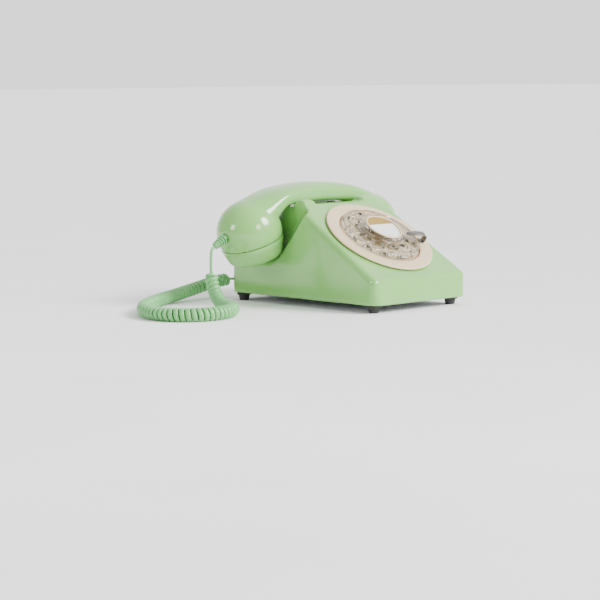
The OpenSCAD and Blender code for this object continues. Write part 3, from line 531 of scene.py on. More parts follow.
def lathe(name, outline, place=None, sides=128, shade=40):
    """Turns a closed outline of (radius, height) points round Z, then puts it in place."""
    outline = [tuple(p) for p in outline]
    n = len(outline)
    points, faces = [], []
    for k in range(sides):
        turn = 2 * math.pi * k / sides
        points += [(r * math.cos(turn), r * math.sin(turn), h) for r, h in outline]
    for k in range(sides):
        a, b = k * n, (k + 1) % sides * n
        faces += [(a + i, b + i, b + (i + 1) % n, a + (i + 1) % n) for i in range(n)]
    made = put(name, points, faces, shade)
    work = bmesh.new()
    work.from_mesh(made.data)
    bmesh.ops.dissolve_degenerate(work, dist=1e-7, edges=work.edges)
    work.to_mesh(made.data)
    work.free()
    tidy(made)
    crisp(made, shade)
    if place is not None:
        move(made, place)
    return made


def rod(radius, low, high, place=None, sides=64, name="rod"):
    """A closed cylinder along Z."""
    return lathe(name, [(0, low), (radius, low), (radius, high), (0, high)], place, sides)


def extruded(name, outline, low, high, place=None):
    """A closed prism from a flat outline."""
    n = len(outline)
    points = [(x, y, z) for z in (low, high) for x, y in outline]
    faces = [tuple(range(n))[::-1], tuple(range(n, 2 * n))]
    faces += [(i, (i + 1) % n, n + (i + 1) % n, n + i) for i in range(n)]
    made = put(name, points, faces)
    if place is not None:
        move(made, place)
    return made


def wrapped(points, name="wrapped"):
    """The closed convex skin round a cloud of points."""
    work = bmesh.new()
    for p in points:
        work.verts.new([c * MM for c in p])
    bmesh.ops.remove_doubles(work, verts=work.verts, dist=1e-7)
    bmesh.ops.convex_hull(work, input=work.verts)
    bmesh.ops.delete(work, geom=[v for v in work.verts if not v.link_faces], context="VERTS")
    bmesh.ops.recalc_face_normals(work, faces=work.faces)
    mesh = bpy.data.meshes.new(name)
    work.to_mesh(mesh)
    work.free()
    skin = bpy.data.objects.new(name, mesh)
    bpy.context.scene.collection.objects.link(skin)
    return skin


def cloud(at, radius, rings=16):
    """Points of a sphere, for a convex skin."""
    return [
        (at[0] + radius * math.sin(a) * math.cos(b), at[1] + radius * math.sin(a) * math.sin(b),
         at[2] + radius * math.cos(a))
        for a in np.linspace(0, math.pi, rings + 1) for b in np.linspace(0, 2 * math.pi, 2 * rings, endpoint=False)
    ]


def move(made, place):
    """Moves the mesh itself, so that the object stays at the origin."""
    made.data.transform(place)
    made.data.update()
    return made


def finish_piece(made, body, slot, *nodes):
    """Gives a piece its finish and its body, and hides the CAD nodes it stands for."""
    made.data.materials.clear()
    made.data.materials.append(FINISH[slot])
    for face in made.data.polygons:
        face.material_index = 0
    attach(made, body)
    if nodes:
        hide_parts(*nodes)
    return made


def clock(angle, radius):
    """A point clockwise from the top of the dial."""
    return radius * math.sin(math.radians(angle)), radius * math.cos(math.radians(angle))


# ======== geometry nodes ========

def new_tree(name, sockets):
    """A geometry tree with named inputs; returns it with its input and output nodes."""
    tree = bpy.data.node_groups.new(name, "GeometryNodeTree")
    tree.interface.new_socket("Geometry", in_out="INPUT", socket_type="NodeSocketGeometry")
    for label, kind, value in sockets:
        made = tree.interface.new_socket(label, in_out="INPUT", socket_type=kind)
        if value is not None:
            made.default_value = value
    tree.interface.new_socket("Geometry", in_out="OUTPUT", socket_type="NodeSocketGeometry")
    return tree, add(tree, "NodeGroupInput"), add(tree, "NodeGroupOutput")


def run_tree(made, tree, values):
    """Puts the tree on the object with its inputs set by identifier, and bakes the result."""
    step = made.modifiers.new(tree.name, "NODES")
    step.node_group = tree
    for item in tree.interface.items_tree:
        if item.item_type == "SOCKET" and item.in_out == "INPUT" and item.name in values:
            step[item.identifier] = values[item.name]
    made.update_tag()
    return bake(made)


def end_tree(tree, geometry, given, out):
    """Closes a tree with real meshes and the given material."""
    real = add(tree, "GeometryNodeRealizeInstances", {"Geometry": geometry})
    dressed = add(tree, "GeometryNodeSetMaterial", {
        "Geometry": real.outputs["Geometry"], "Material": given.outputs["Material"],
    })
    tree.links.new(dressed.outputs["Geometry"], out.inputs["Geometry"])


def holes_tree():
    """Cuts round holes through a disc, evenly spaced along part of a circle about Z."""
    tree, given, out = new_tree("holes on a circle", [
        ("Count", "NodeSocketInt", 10), ("Hole diameter", "NodeSocketFloat", 0.013),
        ("Circle radius", "NodeSocketFloat", 0.0285), ("First angle", "NodeSocketFloat", 0.0),
        ("Step", "NodeSocketFloat", 0.5), ("Depth", "NodeSocketFloat", 0.06), ("Height", "NodeSocketFloat", 0.0),
        ("Material", "NodeSocketMaterial", None),
    ])
    spots = add(tree, "GeometryNodeMeshLine", {"Count": given.outputs["Count"]})
    index = add(tree, "GeometryNodeInputIndex").outputs["Index"]
    gone = add(tree, "ShaderNodeMath", {0: index, 1: given.outputs["Step"]}, operation="MULTIPLY")
    angle = add(tree, "ShaderNodeMath", {0: gone.outputs[0], 1: given.outputs["First angle"]}, operation="ADD")
    sine = add(tree, "ShaderNodeMath", {0: angle.outputs[0]}, operation="SINE")
    cosine = add(tree, "ShaderNodeMath", {0: angle.outputs[0]}, operation="COSINE")
    x = add(tree, "ShaderNodeMath", {0: sine.outputs[0], 1: given.outputs["Circle radius"]}, operation="MULTIPLY")
    y = add(tree, "ShaderNodeMath", {0: cosine.outputs[0], 1: given.outputs["Circle radius"]}, operation="MULTIPLY")
    at = add(tree, "ShaderNodeCombineXYZ", {"X": x.outputs[0], "Y": y.outputs[0], "Z": given.outputs["Height"]})
    placed = add(tree, "GeometryNodeSetPosition", {
        "Geometry": spots.outputs["Mesh"], "Position": at.outputs["Vector"],
    })
    half = add(tree, "ShaderNodeMath", {0: given.outputs["Hole diameter"], 1: 0.5}, operation="MULTIPLY")
    cutter = add(tree, "GeometryNodeMeshCylinder", {
        "Vertices": 64, "Radius": half.outputs[0], "Depth": given.outputs["Depth"],
    })
    copies = add(tree, "GeometryNodeInstanceOnPoints", {
        "Points": placed.outputs["Geometry"], "Instance": cutter.outputs["Mesh"],
    })
    solid = add(tree, "GeometryNodeRealizeInstances", {"Geometry": copies.outputs["Instances"]})
    cut = add(tree, "GeometryNodeMeshBoolean", operation="DIFFERENCE", solver="MANIFOLD")
    tree.links.new(given.outputs["Geometry"], cut.inputs["Mesh 1"])
    tree.links.new(solid.outputs["Geometry"], cut.inputs["Mesh 2"])
    end_tree(tree, cut.outputs["Mesh"], given, out)
    return tree


def ribs_tree():
    """Adds rounded ribs along Z to a tapered sleeve, each a little smaller than the last."""
    tree, given, out = new_tree("ribs on a sleeve", [
        ("Count", "NodeSocketInt", 5), ("Start", "NodeSocketFloat", 0.003), ("Pitch", "NodeSocketFloat", 0.0026),
        ("Radius", "NodeSocketFloat", 0.004), ("Taper", "NodeSocketFloat", 0.0003),
        ("Width", "NodeSocketFloat", 0.0018), ("Material", "NodeSocketMaterial", None),
    ])
    offset = add(tree, "ShaderNodeCombineXYZ", {"Z": given.outputs["Pitch"]})
    start = add(tree, "ShaderNodeCombineXYZ", {"Z": given.outputs["Start"]})
    spots = add(tree, "GeometryNodeMeshLine", {
        "Count": given.outputs["Count"], "Start Location": start.outputs["Vector"], "Offset": offset.outputs["Vector"],
    })
    around = add(tree, "GeometryNodeCurvePrimitiveCircle", {"Resolution": 48, "Radius": given.outputs["Radius"]})
    half = add(tree, "ShaderNodeMath", {0: given.outputs["Width"], 1: 0.5}, operation="MULTIPLY")
    section = add(tree, "GeometryNodeCurvePrimitiveCircle", {"Resolution": 12, "Radius": half.outputs[0]})
    rib = add(tree, "GeometryNodeCurveToMesh", {
        "Curve": around.outputs["Curve"], "Profile Curve": section.outputs["Curve"],
    })
    index = add(tree, "GeometryNodeInputIndex").outputs["Index"]
    loss = add(tree, "ShaderNodeMath", {0: index, 1: given.outputs["Taper"]}, operation="MULTIPLY")
    share = add(tree, "ShaderNodeMath", {0: loss.outputs[0], 1: given.outputs["Radius"]}, operation="DIVIDE")
    size = add(tree, "ShaderNodeMath", {0: 1.0, 1: share.outputs[0]}, operation="SUBTRACT")
    scale = add(tree, "ShaderNodeCombineXYZ", {"X": size.outputs[0], "Y": size.outputs[0], "Z": 1.0})
    copies = add(tree, "GeometryNodeInstanceOnPoints", {
        "Points": spots.outputs["Mesh"], "Instance": rib.outputs["Mesh"], "Scale": scale.outputs["Vector"],
    })
    both = add(tree, "GeometryNodeJoinGeometry")
    tree.links.new(copies.outputs["Instances"], both.inputs["Geometry"])
    tree.links.new(given.outputs["Geometry"], both.inputs["Geometry"])
    smooth = add(tree, "GeometryNodeSetShadeSmooth", {"Geometry": both.outputs["Geometry"]})
    end_tree(tree, smooth.outputs["Geometry"], given, out)
    return tree


def cable_tree():
    """Sweeps a flat rounded section along a line of points that carry its centre, broad axis and two sizes."""
    tree, given, out = new_tree("cable along a line", [
        ("Points", "NodeSocketInt", 12), ("Material", "NodeSocketMaterial", None),
    ])
    stored = {
        name: add(tree, "GeometryNodeInputNamedAttribute", {"Name": name}, data_type=kind).outputs["Attribute"]
        for name, kind in (("centre", "FLOAT_VECTOR"), ("axis", "FLOAT_VECTOR"), ("wide", "FLOAT"), ("thin", "FLOAT"))
    }
    line = add(tree, "GeometryNodeMeshToCurve", {"Mesh": given.outputs["Geometry"]})
    turned = add(tree, "GeometryNodeSetCurveNormal", {"Curve": line.outputs["Curve"], "Normal": stored["axis"]},
                 mode="FREE")
    section = add(tree, "GeometryNodeCurvePrimitiveCircle", {"Resolution": given.outputs["Points"], "Radius": 1.0})
    skin = add(tree, "GeometryNodeCurveToMesh", {
        "Curve": turned.outputs["Curve"], "Profile Curve": section.outputs["Curve"], "Fill Caps": True,
    })
    here = add(tree, "GeometryNodeInputPosition").outputs["Position"]
    out_by = add(tree, "ShaderNodeVectorMath", {0: here, 1: stored["centre"]}, operation="SUBTRACT")
    along = add(tree, "ShaderNodeVectorMath", {0: out_by.outputs["Vector"], 1: stored["axis"]}, operation="DOT_PRODUCT")
    broad = add(tree, "ShaderNodeVectorMath", {0: stored["axis"], 3: along.outputs["Value"]}, operation="SCALE")
    rest = add(tree, "ShaderNodeVectorMath", {0: out_by.outputs["Vector"], 1: broad.outputs["Vector"]},
               operation="SUBTRACT")
    half_wide = add(tree, "ShaderNodeMath", {0: stored["wide"], 1: 0.5}, operation="MULTIPLY")
    half_thin = add(tree, "ShaderNodeMath", {0: stored["thin"], 1: 0.5}, operation="MULTIPLY")
    side_a = add(tree, "ShaderNodeVectorMath", {0: broad.outputs["Vector"], 3: half_wide.outputs[0]}, operation="SCALE")
    side_b = add(tree, "ShaderNodeVectorMath", {0: rest.outputs["Vector"], 3: half_thin.outputs[0]}, operation="SCALE")
    offset = add(tree, "ShaderNodeVectorMath", {0: side_a.outputs["Vector"], 1: side_b.outputs["Vector"]},
                 operation="ADD")
    there = add(tree, "ShaderNodeVectorMath", {0: stored["centre"], 1: offset.outputs["Vector"]}, operation="ADD")
    placed = add(tree, "GeometryNodeSetPosition", {
        "Geometry": skin.outputs["Mesh"], "Position": there.outputs["Vector"],
    })
    smooth = add(tree, "GeometryNodeSetShadeSmooth", {"Geometry": placed.outputs["Geometry"]})
    end_tree(tree, smooth.outputs["Geometry"], given, out)
    return tree


# ======== the cord ========

def curve(points, steps):
    """Smooth curve through the route's points."""
    p = [np.array(q, float) for q in points]
    last = len(p) - 1
    out = []
    for i in range(last):
        a = p[i - 1] if i else 2 * p[0] - p[1]
        d = p[i + 2] if i < last - 1 else 2 * p[last] - p[last - 1]
        b, c = p[i], p[i + 1]
        for t in np.arange(steps) / steps:
            out.append(0.5 * (2 * b + (c - a) * t + (2 * a - 5 * b + 4 * c - d) * t * t
                              + (3 * b - a - 3 * c + d) * t ** 3))
    out.append(p[last])
    return np.array(out)


def evenly(line, gap):
    """The line's points moved to an even spacing."""
    far = np.concatenate([[0], np.cumsum(np.linalg.norm(np.diff(line, axis=0), axis=1))])
    at = np.linspace(0, far[-1], max(2, int(round(far[-1] / gap)) + 1))
    return np.stack([np.interp(at, far, line[:, k]) for k in range(3)], 1), at


def unit(v):
    """v with length one."""
    return v / np.linalg.norm(v)


def cord_line(pitch, cable_wide, cable_thin, per_turn=20):
    """The cable's own centreline from relief to gland, with its broad axis and its two sizes at each point."""
    route, far = evenly(curve(CURL_ROUTE, 12), pitch / per_turn)
    along = np.gradient(route, axis=0)
    along /= np.linalg.norm(along, axis=1)[:, None]
    side = np.empty_like(along)
    side[0] = unit(np.cross(along[0], (0, 1, 0)))
    for i in range(1, len(route)):
        side[i] = unit(side[i - 1] - (side[i - 1] @ along[i]) * along[i])
    other = np.cross(along, side)
    out_r = CURL_D / 2 - cable_thin / 2
    ends = np.clip(np.minimum(far, far[-1] - far) / (CURL_EASE * pitch), 0, 1)
    ends = ends * ends * (3 - 2 * ends)
    turn = 2 * math.pi * far / pitch
    coil = route + (out_r * ends)[:, None] * (np.cos(turn)[:, None] * side + np.sin(turn)[:, None] * other)
    lead, _ = evenly(curve(LEAD_ROUTE, 8), 0.8)
    tail, _ = evenly(curve(TAIL_ROUTE, 8), 0.8)
    line = np.concatenate([lead, coil, tail])
    share = np.concatenate([np.zeros(len(lead)), ends, np.zeros(len(tail))])
    lie = np.concatenate([np.gradient(lead, axis=0), along, np.gradient(tail, axis=0)])
    keep = np.concatenate([[True], np.linalg.norm(np.diff(line, axis=0), axis=1) > 0.12])
    line, share, lie = line[keep], share[keep], lie[keep]
    way = np.gradient(line, axis=0)
    way /= np.linalg.norm(way, axis=1)[:, None]
    axis = np.empty_like(line)
    axis[0] = unit(np.cross(way[0], (0, 1, 0.01)))
    for i in range(1, len(line)):
        wish = lie[i] / np.linalg.norm(lie[i])
        wish = wish - (wish @ way[i]) * way[i]
        kept = axis[i - 1] - (axis[i - 1] @ way[i]) * way[i]
        if np.linalg.norm(wish) > 0.3:
            wish = unit(wish) * (1 if unit(wish) @ kept >= 0 else -1)
            kept = kept * 0.7 + wish * 0.3
        axis[i] = unit(kept)
    wide = CABLE_D + (cable_wide - CABLE_D) * share
    thin = CABLE_D + (cable_thin - CABLE_D) * share
    return line, axis, wide, thin


def build_cord(sizes):
    """The cable from end to end: plain lead, curls, plain tail."""
    line, axis, wide, thin = cord_line(sizes.curl_pitch / MM, sizes.cable_wide / MM, sizes.cable_thin / MM)
    mesh = bpy.data.meshes.new("handset_cord")
    mesh.from_pydata((line * MM).tolist(), [(i, i + 1) for i in range(len(line) - 1)], [])
    for name, kind, values, field in (
        ("centre", "FLOAT_VECTOR", line * MM, "vector"), ("axis", "FLOAT_VECTOR", axis, "vector"),
        ("wide", "FLOAT", wide * MM, "value"), ("thin", "FLOAT", thin * MM, "value"),
    ):
        mesh.attributes.new(name, kind, "POINT").data.foreach_set(field, np.ravel(values))
    cord = bpy.data.objects.new("handset_cord", mesh)
    bpy.context.scene.collection.objects.link(cord)
    run_tree(cord, cable_tree(), {"Points": 12, "Material": FINISH["green_pvc"]})
    tidy(cord, 1e-7)
    crisp(cord, 60)
    for name in ("centre", "axis", "wide", "thin"):
        if name in cord.data.attributes:
            cord.data.attributes.remove(cord.data.attributes[name])
    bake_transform(cord)
    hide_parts("cord_lead", "cord_curl", "cord_tail")
    return cord, line * MM


def relief_place():
    """Frame of the strain relief: its root in the ball, Z along the cable."""
    return Matrix.Translation(((1 - HANDSET_LEN / 2) * MM, HANDSET_Y * MM, RELIEF_ROOT * MM)) \
        @ Matrix.Rotation(-math.pi / 2 - RELIEF_TILT, 4, "Y")


def gland_place():
    """Frame of the gland: on the rear wall, Z outwards."""
    return Matrix.Translation((GLAND_X * MM, Y_REAR * MM, Z_GLAND * MM)) @ Matrix.Rotation(-math.pi / 2, 4, "X")


def build_relief():
    """Ribbed strain relief of the handset."""
    hole = CABLE_D / 2 + 0.05
    sleeve = lathe("handset_strain_relief_moulding", [
        (hole, -3), (RELIEF_CORE, -3), (RELIEF_CORE, 2), (2.7, RELIEF_LEN - 1.2), (2.3, RELIEF_LEN - 0.3),
        (2.0, RELIEF_LEN), (hole, RELIEF_LEN),
    ], None, 64)
    pitch = (RELIEF_LEN - 2.8) / 5
    run_tree(sleeve, ribs_tree(), {
        "Count": 5, "Start": 3.7 * MM, "Pitch": pitch * MM, "Radius": 4.05 * MM, "Taper": 0.28 * MM,
        "Width": 1.5 * MM, "Material": FINISH["green_pvc"],
    })
    crisp(sleeve, 50)
    move(sleeve, relief_place())
    return finish_piece(sleeve, "handset", "green_pvc", "handset_strain_relief")


def build_gland():
    """Tapered gland on the rear wall."""
    hole = CABLE_D / 2 + 0.05
    gland = lathe("rear_cord_gland", [
        (hole, -5.4), (5.6, -5.4), (5.6, -3.8), (4.0, -3.8), (4.0, 0.15), (5.3, 0.15), (5.55, 0.5), (5.4, 1.4),
        (4.9, 2.2), (5.0, 2.6), (4.6, 3.6), (4.2, 4.2), (4.3, 4.7), (3.9, 5.8), (3.6, 6.4), (3.6, 7.4), (3.3, 8.0),
        (hole, 8.0),
    ], gland_place(), 64)
    return finish_piece(gland, "base", "green_pvc", "cord_gland")


# ======== the case ========

def case_points(shrink):
    """Points whose convex skin is the case's body, moved in by shrink."""
    points = []
    for s in (-1, 1):
        for y, w, inward in ((Y_FRONT, CASE_FRONT_W, 1), (Y_REAR, CASE_REAR_W, -1)):
            for k in range(96):
                a = 2 * math.pi * k / 96
                for z in (Z_BOTTOM - shrink, Z_BOTTOM - shrink + 1):
                    points.append((
                        s * (w / 2 - CORNER_R) + (CORNER_R - shrink) * math.cos(a),
                        y + inward * CORNER_R + (CORNER_R - shrink) * math.sin(a), z,
                    ))
        for x, y, z in (
            (CASE_FRONT_W / 2 - 0.6, Y_FACE + EDGE_R, Z_APRON - EDGE_R + 1),
            (FACE_TOP_W / 2, Y_LIP + EDGE_R - 1, Z_LIP - EDGE_R),
            (CRADLE_W / 2, Y_BACK_LIP - EDGE_R, Z_LIP - EDGE_R),
            (CASE_REAR_W / 2 - 1, Y_REAR - EDGE_R - 2, Z_BACK - EDGE_R),
        ):
            points += cloud((s * (x - EDGE_R), y, z), EDGE_R - shrink, 24)
    return points


def horn(s, y, length, turned):
    """One cradle horn, with all its edges well rounded."""
    r = 2.4
    middle = s * HORN_X
    points = []
    for y_share, z in ((1.1, Z_LIP - 4), (0.95, Z_LIP - 0.6), (0.78, Z_LIP + HORN_H * 0.75), (0.55, Z_LIP + HORN_H),
                       (0.33, Z_LIP + HORN_H * 0.9), (0.17, Z_LIP + HORN_H * 0.45), (0.15, Z_TROUGH - 2)):
        for x in (middle - HORN_W / 2 + r, middle + HORN_W / 2 - r):
            along = length * y_share - r * (y_share > 0.9) + r * (y_share < 0.3)
            points += cloud((x, y + turned * along, z - r), r, 12)
    return wrapped(points)


def scoop(s, r):
    """Tools that hollow the case round one of the handset's balls."""
    upright = rod(r, 0, 60, Matrix.Translation((s * BALL_X * MM, HANDSET_Y * MM, BALL_Z * MM)), 160)
    points = []
    for rise in (0, 60):
        points += cloud((s * BALL_X, HANDSET_Y, BALL_Z + rise), r, 64)
        points += cloud((s * FACE_TOP_W / 2, Y_LIP + 0.5, Z_LIP - 2 + rise), r - SCOOP_R + 10, 32)
    swept = wrapped(points)
    return [upright, swept]


def bottom_opening():
    """Outline of the case's open bottom."""
    points = []
    for cx, cy in ((1, -1), (1, 1), (-1, 1), (-1, -1)):
        w = CASE_FRONT_W if cy < 0 else CASE_REAR_W
        for k in range(9):
            a = math.atan2(cy, cx) - math.pi / 4 + math.pi / 2 * k / 8
            points.append((cx * (w / 2 - CORNER_R) + (CORNER_R - WALL) * math.cos(a),
                           cy * (CASE_LEN / 2 - CORNER_R) + (CORNER_R - WALL) * math.sin(a)))
    return points


def build_case(sizes):
    """The moulded case with its cradle, horns, hollows and openings."""
    case = wrapped(case_points(0), "telephone_case")
    horns = [horn(s, HANDSET_Y - TROUGH_HALF, 19, -1) for s in (-1, 1)]
    horns += [horn(s, HANDSET_Y + TROUGH_HALF, 10, 1) for s in (-1, 1)]
    combine(case, horns, "UNION")
    room = wrapped(case_points(WALL), "room")
    combine(room, [
        block((-100, HANDSET_Y - TROUGH_HALF - WALL, Z_TROUGH - WALL), (100, HANDSET_Y + TROUGH_HALF + WALL, 160)),
        block((-GRIP_W / 2 - WALL, Y_GRIP - WALL, Z_GRIP - GRIP_H - WALL), (GRIP_W / 2 + WALL, 160, Z_GRIP + WALL)),
        *scoop(-1, SCOOP_R + WALL), *scoop(1, SCOOP_R + WALL),
    ], "DIFFERENCE")
    combine(case, [
        room,
        extruded("opening", bottom_opening(), Z_BOTTOM - 3, Z_BOTTOM + 2),
        *scoop(-1, SCOOP_R), *scoop(1, SCOOP_R),
        block((-100, HANDSET_Y - TROUGH_HALF, Z_TROUGH), (100, HANDSET_Y + TROUGH_HALF, 160)),
        block((-GRIP_W / 2, Y_GRIP, Z_GRIP - GRIP_H), (GRIP_W / 2, 160, Z_GRIP)),
        rod(DIAL_HOLE_R, -20, 20, DIAL_PLACE, 160),
        *[rod(PLUNGER_R + 0.5, Z_TROUGH - 5, Z_TROUGH + 5,
              Matrix.Translation((s * PLUNGER_X * MM, HANDSET_Y * MM, 0))) for s in (-1, 1)],
        rod(4.2, -12, 8, gland_place()),
        block((SOCKET_X - 8.3, Y_REAR - 12, Z_GLAND - 5.3), (SOCKET_X + 8.3, Y_REAR + 8, Z_GLAND + 7.3)),
    ], "DIFFERENCE")
    moulded(case, sizes.case_grid / MM, 5)
    return finish_piece(case, "base", "green_abs", "case_shell")


def build_feet():
    """Four moulded rubber feet."""
    feet = []
    for s in (-1, 1):
        for y in (Y_FRONT + 13, Y_REAR - 13):
            feet.append(lathe("foot", [
                (0, 0), (3.7, 0), (4.2, 0.25), (4.5, 0.8), (5.15, FOOT_H - 2.7), (5.5, FOOT_H - 2.1),
                (6.7, FOOT_H - 1.8), (7, FOOT_H - 1.5), (7, FOOT_H - 0.4), (6.7, FOOT_H - 0.1), (4, FOOT_H - 0.1),
                (4, FOOT_H + 0.38), (2.7, FOOT_H + 0.38), (2.7, Z_INSIDE), (3.6, Z_INSIDE), (3.2, Z_INSIDE + 1.4),
                (0, Z_INSIDE + 1.4),
            ], Matrix.Translation((s * 51 * MM, y * MM, 0)), 64, 50))
    return finish_piece(join("moulded_feet", feet), "base", "black_rubber", "rubber_feet")


def build_plungers():
    """The two plungers that stand in the cradle's trough."""
    bar = Z_TROUGH - WALL - 22
    low = HANDLE_UNDER - (UNDER_ARC - math.sqrt(UNDER_ARC ** 2 - (PLUNGER_X + PLUNGER_R) ** 2)) - 0.4
    for s, side in ((-1, "left"), (1, "right")):
        made = lathe(f"cradle_plunger_{side}", [
            (0, bar + 4), (PLUNGER_R, bar + 4), (PLUNGER_R, Z_TROUGH - WALL - 9.5),
            (PLUNGER_R + 1.7, Z_TROUGH - WALL - 9.5), (PLUNGER_R + 2, Z_TROUGH - WALL - 9.2),
            (PLUNGER_R + 2, Z_TROUGH - WALL - 6.8), (PLUNGER_R + 1.7, Z_TROUGH - WALL - 6.5),
            (PLUNGER_R, Z_TROUGH - WALL - 6.5), (PLUNGER_R, low - 0.9), (PLUNGER_R - 0.3, low - 0.35),
            (PLUNGER_R - 0.9, low), (0, low),
        ], Matrix.Translation((s * PLUNGER_X * MM, HANDSET_Y * MM, 0)), 64)
        finish_piece(made, "plungers", "ivory_nylon", f"plunger_{side}")


# ======== the handset ========

def section(x, count):
    """Rounded section of the handle at one place along it."""
    t = max(0.0, (abs(x) - NECK_X) / (HANDLE_END - NECK_X))
    b = t * t * (3 - 2 * t)
    top = HANDSET_TOP - TOP_ARC + math.sqrt(TOP_ARC ** 2 - x * x) - 0.4 * b
    low = (HANDLE_UNDER - UNDER_ARC + math.sqrt(UNDER_ARC ** 2 - x * x)) * (1 - b) + (BALL_Z - 12) * b
    mid, half = (top + low) / 2, (top - low) / 2
    square = 0.8 + 0.2 * b
    wide = half_width(x) + (BALL_R - half_width(x) - 5) * b
    out = []
    for k in range(count):
        a = 2 * math.pi * k / count
        c, s = math.cos(a), math.sin(a)
        bend = square if s > 0 else square - 0.42 * (1 - b)
        out.append((x, HANDSET_Y + wide * math.copysign(abs(c) ** bend, c),
                    mid + half * math.copysign(abs(s) ** bend, s)))
    return out


def end_place(s):
    """Frame of one end: its origin at the ball's centre and Z out through the cap."""
    return Matrix.Translation((s * BALL_X * MM, HANDSET_Y * MM, BALL_Z * MM)) \
        @ Matrix.Rotation(math.pi + s * CAP_TILT, 4, "Y")


def build_handset(sizes):
    """The handset's handle, running into its two round ends."""
    count, stations = 72, np.linspace(-HANDLE_END, HANDLE_END, 141)
    points, faces = [], []
    for x in stations:
        points += section(float(x), count)
    for i in range(len(stations) - 1):
        faces += [(i * count + k, (i + 1) * count + k, (i + 1) * count + (k + 1) % count, i * count + (k + 1) % count)
                  for k in range(count)]
    last = (len(stations) - 1) * count
    faces += [tuple(range(count)), tuple(last + k for k in range(count))[::-1]]
    handle = put("telephone_handset", points, faces)
    combine(handle, [ball((s * BALL_X, HANDSET_Y, BALL_Z), BALL_R, 64) for s in (-1, 1)], "UNION")
    tools = []
    for s in (-1, 1):
        tools.append(rod(BALL_R + 8, SEAM_D, SEAM_D + 50, end_place(s), 96))
        tools.append(move(ball((0, 0, 0), BALL_R - SHELL, 48), end_place(s)))
    tools.append(rod(RELIEF_CORE + 0.3, -8, 8, relief_place(), 48))
    combine(handle, tools, "DIFFERENCE")
    moulded(handle, sizes.handset_grid / MM, 9)
    return finish_piece(handle, "handset", "green_abs", "handset_handle")


def eased(outline, cuts=4, keep=0.25):
    """An outline with its corners rounded by cutting them again and again; the first and last points stay."""
    points = [np.array(p, float) for p in outline]
    for _ in range(cuts):
        out = [points[0]]
        for a, b in zip(points, points[1:]):
            out += [a + (b - a) * keep, a + (b - a) * (1 - keep)]
        points = [*out, points[-1]]
    return [tuple(p) for p in points]


def build_caps():
    """Mouth cap and ear cap with their sound holes."""
    rim = math.sqrt(BALL_R ** 2 - SEAM_D ** 2)
    low = SEAM_D + 0.2
    outer = [(rim - 0.9, low), *eased([(rim - 0.35, low), (rim, low + 0.4), (rim - 0.1, low + 3), (rim - 1, SEAM_D + 6),
             (rim - 3.2, FACE_D - 5.4), (FACE_R + 3.0, FACE_D - 2.2), (FACE_R + 0.4, FACE_D - 0.25),
             (FACE_R - 2.6, FACE_D)], 3), (8, FACE_D), (0, FACE_D)]
    inner = [(0, FACE_D - SHELL), (FACE_R - 2.5, FACE_D - SHELL), (FACE_R, FACE_D - SHELL - 1),
             (rim - 3.2 - SHELL, FACE_D - 5.8), (rim - 1 - SHELL, SEAM_D + 6), (rim - SHELL, low)]
    tree = holes_tree()
    for s, side, node in ((-1, "mouth", "mouthpiece_cap"), (1, "ear", "earpiece_cap")):
        cap = lathe(f"handset_{side}_cap", outer + inner, None, 160)
        for count, radius in ((6, 4.5), (1, 0.0)):
            run_tree(cap, tree, {
                "Count": count, "Hole diameter": 2 * MM, "Circle radius": radius * MM, "First angle": 0.0,
                "Step": math.radians(60), "Depth": 12 * MM, "Height": FACE_D * MM, "Material": FINISH["green_abs"],
            })
        crisp(cap, 35)
        move(cap, end_place(s))
        finish_piece(cap, "handset", "green_abs", node)


# ======== the dial ========

def build_surround():
    """The cream surround with soft edges."""
    bezel = lathe("dial_surround", [
        (BEZEL_IN_R, -6.98), (DIAL_HOLE_R - 0.3, -6.98), (DIAL_HOLE_R - 0.3, 0.15), (BEZEL_D / 2 - 0.15, 0.15),
        (BEZEL_D / 2, 0.3), (BEZEL_D / 2, 0.75), (BEZEL_D / 2 - 0.12, 1.15), (BEZEL_D / 2 - 0.4, 1.5),
        (BEZEL_D / 2 - 0.9, 1.72), (BEZEL_D / 2 - 1.6, 1.8), (BEZEL_IN_R + 1.5, 1.8), (BEZEL_IN_R + 0.8, 1.74),
        (BEZEL_IN_R + 0.3, 1.55), (BEZEL_IN_R + 0.05, 1.2), (BEZEL_IN_R, 0.8),
    ], DIAL_PLACE, 192, 60)
    finish_piece(bezel, "base", "cream_abs", "dial_bezel")
    plate = lathe("dial_number_ring", [
        (SPINDLE_R + 2, NUMBER_TOP - 1.2), (BEZEL_IN_R - 0.3, NUMBER_TOP - 1.2), (BEZEL_IN_R - 0.3, NUMBER_TOP - 0.15),
        (BEZEL_IN_R - 0.45, NUMBER_TOP), (SPINDLE_R + 2.1, NUMBER_TOP), (SPINDLE_R + 2, NUMBER_TOP - 0.1),
    ], DIAL_PLACE, 160)
    finish_piece(plate, "base", "number_print", "dial_number_plate")


def build_digits(sizes):
    """The digits printed under the finger holes, 1 to 9 and 0, anticlockwise."""
    parts = []
    for i in range(10):
        text = bpy.data.curves.new("digit", "FONT")
        text.body = str((i + 1) % 10)
        text.size = sizes.digit_height / 0.7
        text.align_x = "CENTER"
        text.extrude = 0.02 * MM
        text.resolution_u = 4
        helper = bpy.data.objects.new("digit", text)
        bpy.context.scene.collection.objects.link(helper)
        graph = bpy.context.evaluated_depsgraph_get()
        mesh = bpy.data.meshes.new_from_object(helper.evaluated_get(graph))
        drop(helper)
        x, y = clock(FIRST_HOLE - HOLE_STEP * i, HOLE_R)
        mesh.transform(DIAL_PLACE @ Matrix.Translation((
            x * MM, y * MM - sizes.digit_height / 2, (NUMBER_TOP + 0.03) * MM)))
        part = bpy.data.objects.new("digit", mesh)
        bpy.context.scene.collection.objects.link(part)
        parts.append(part)
    digits = join("printed_digits", parts)
    tidy(digits, 1e-7)
    return finish_piece(digits, "base", "print_ink")


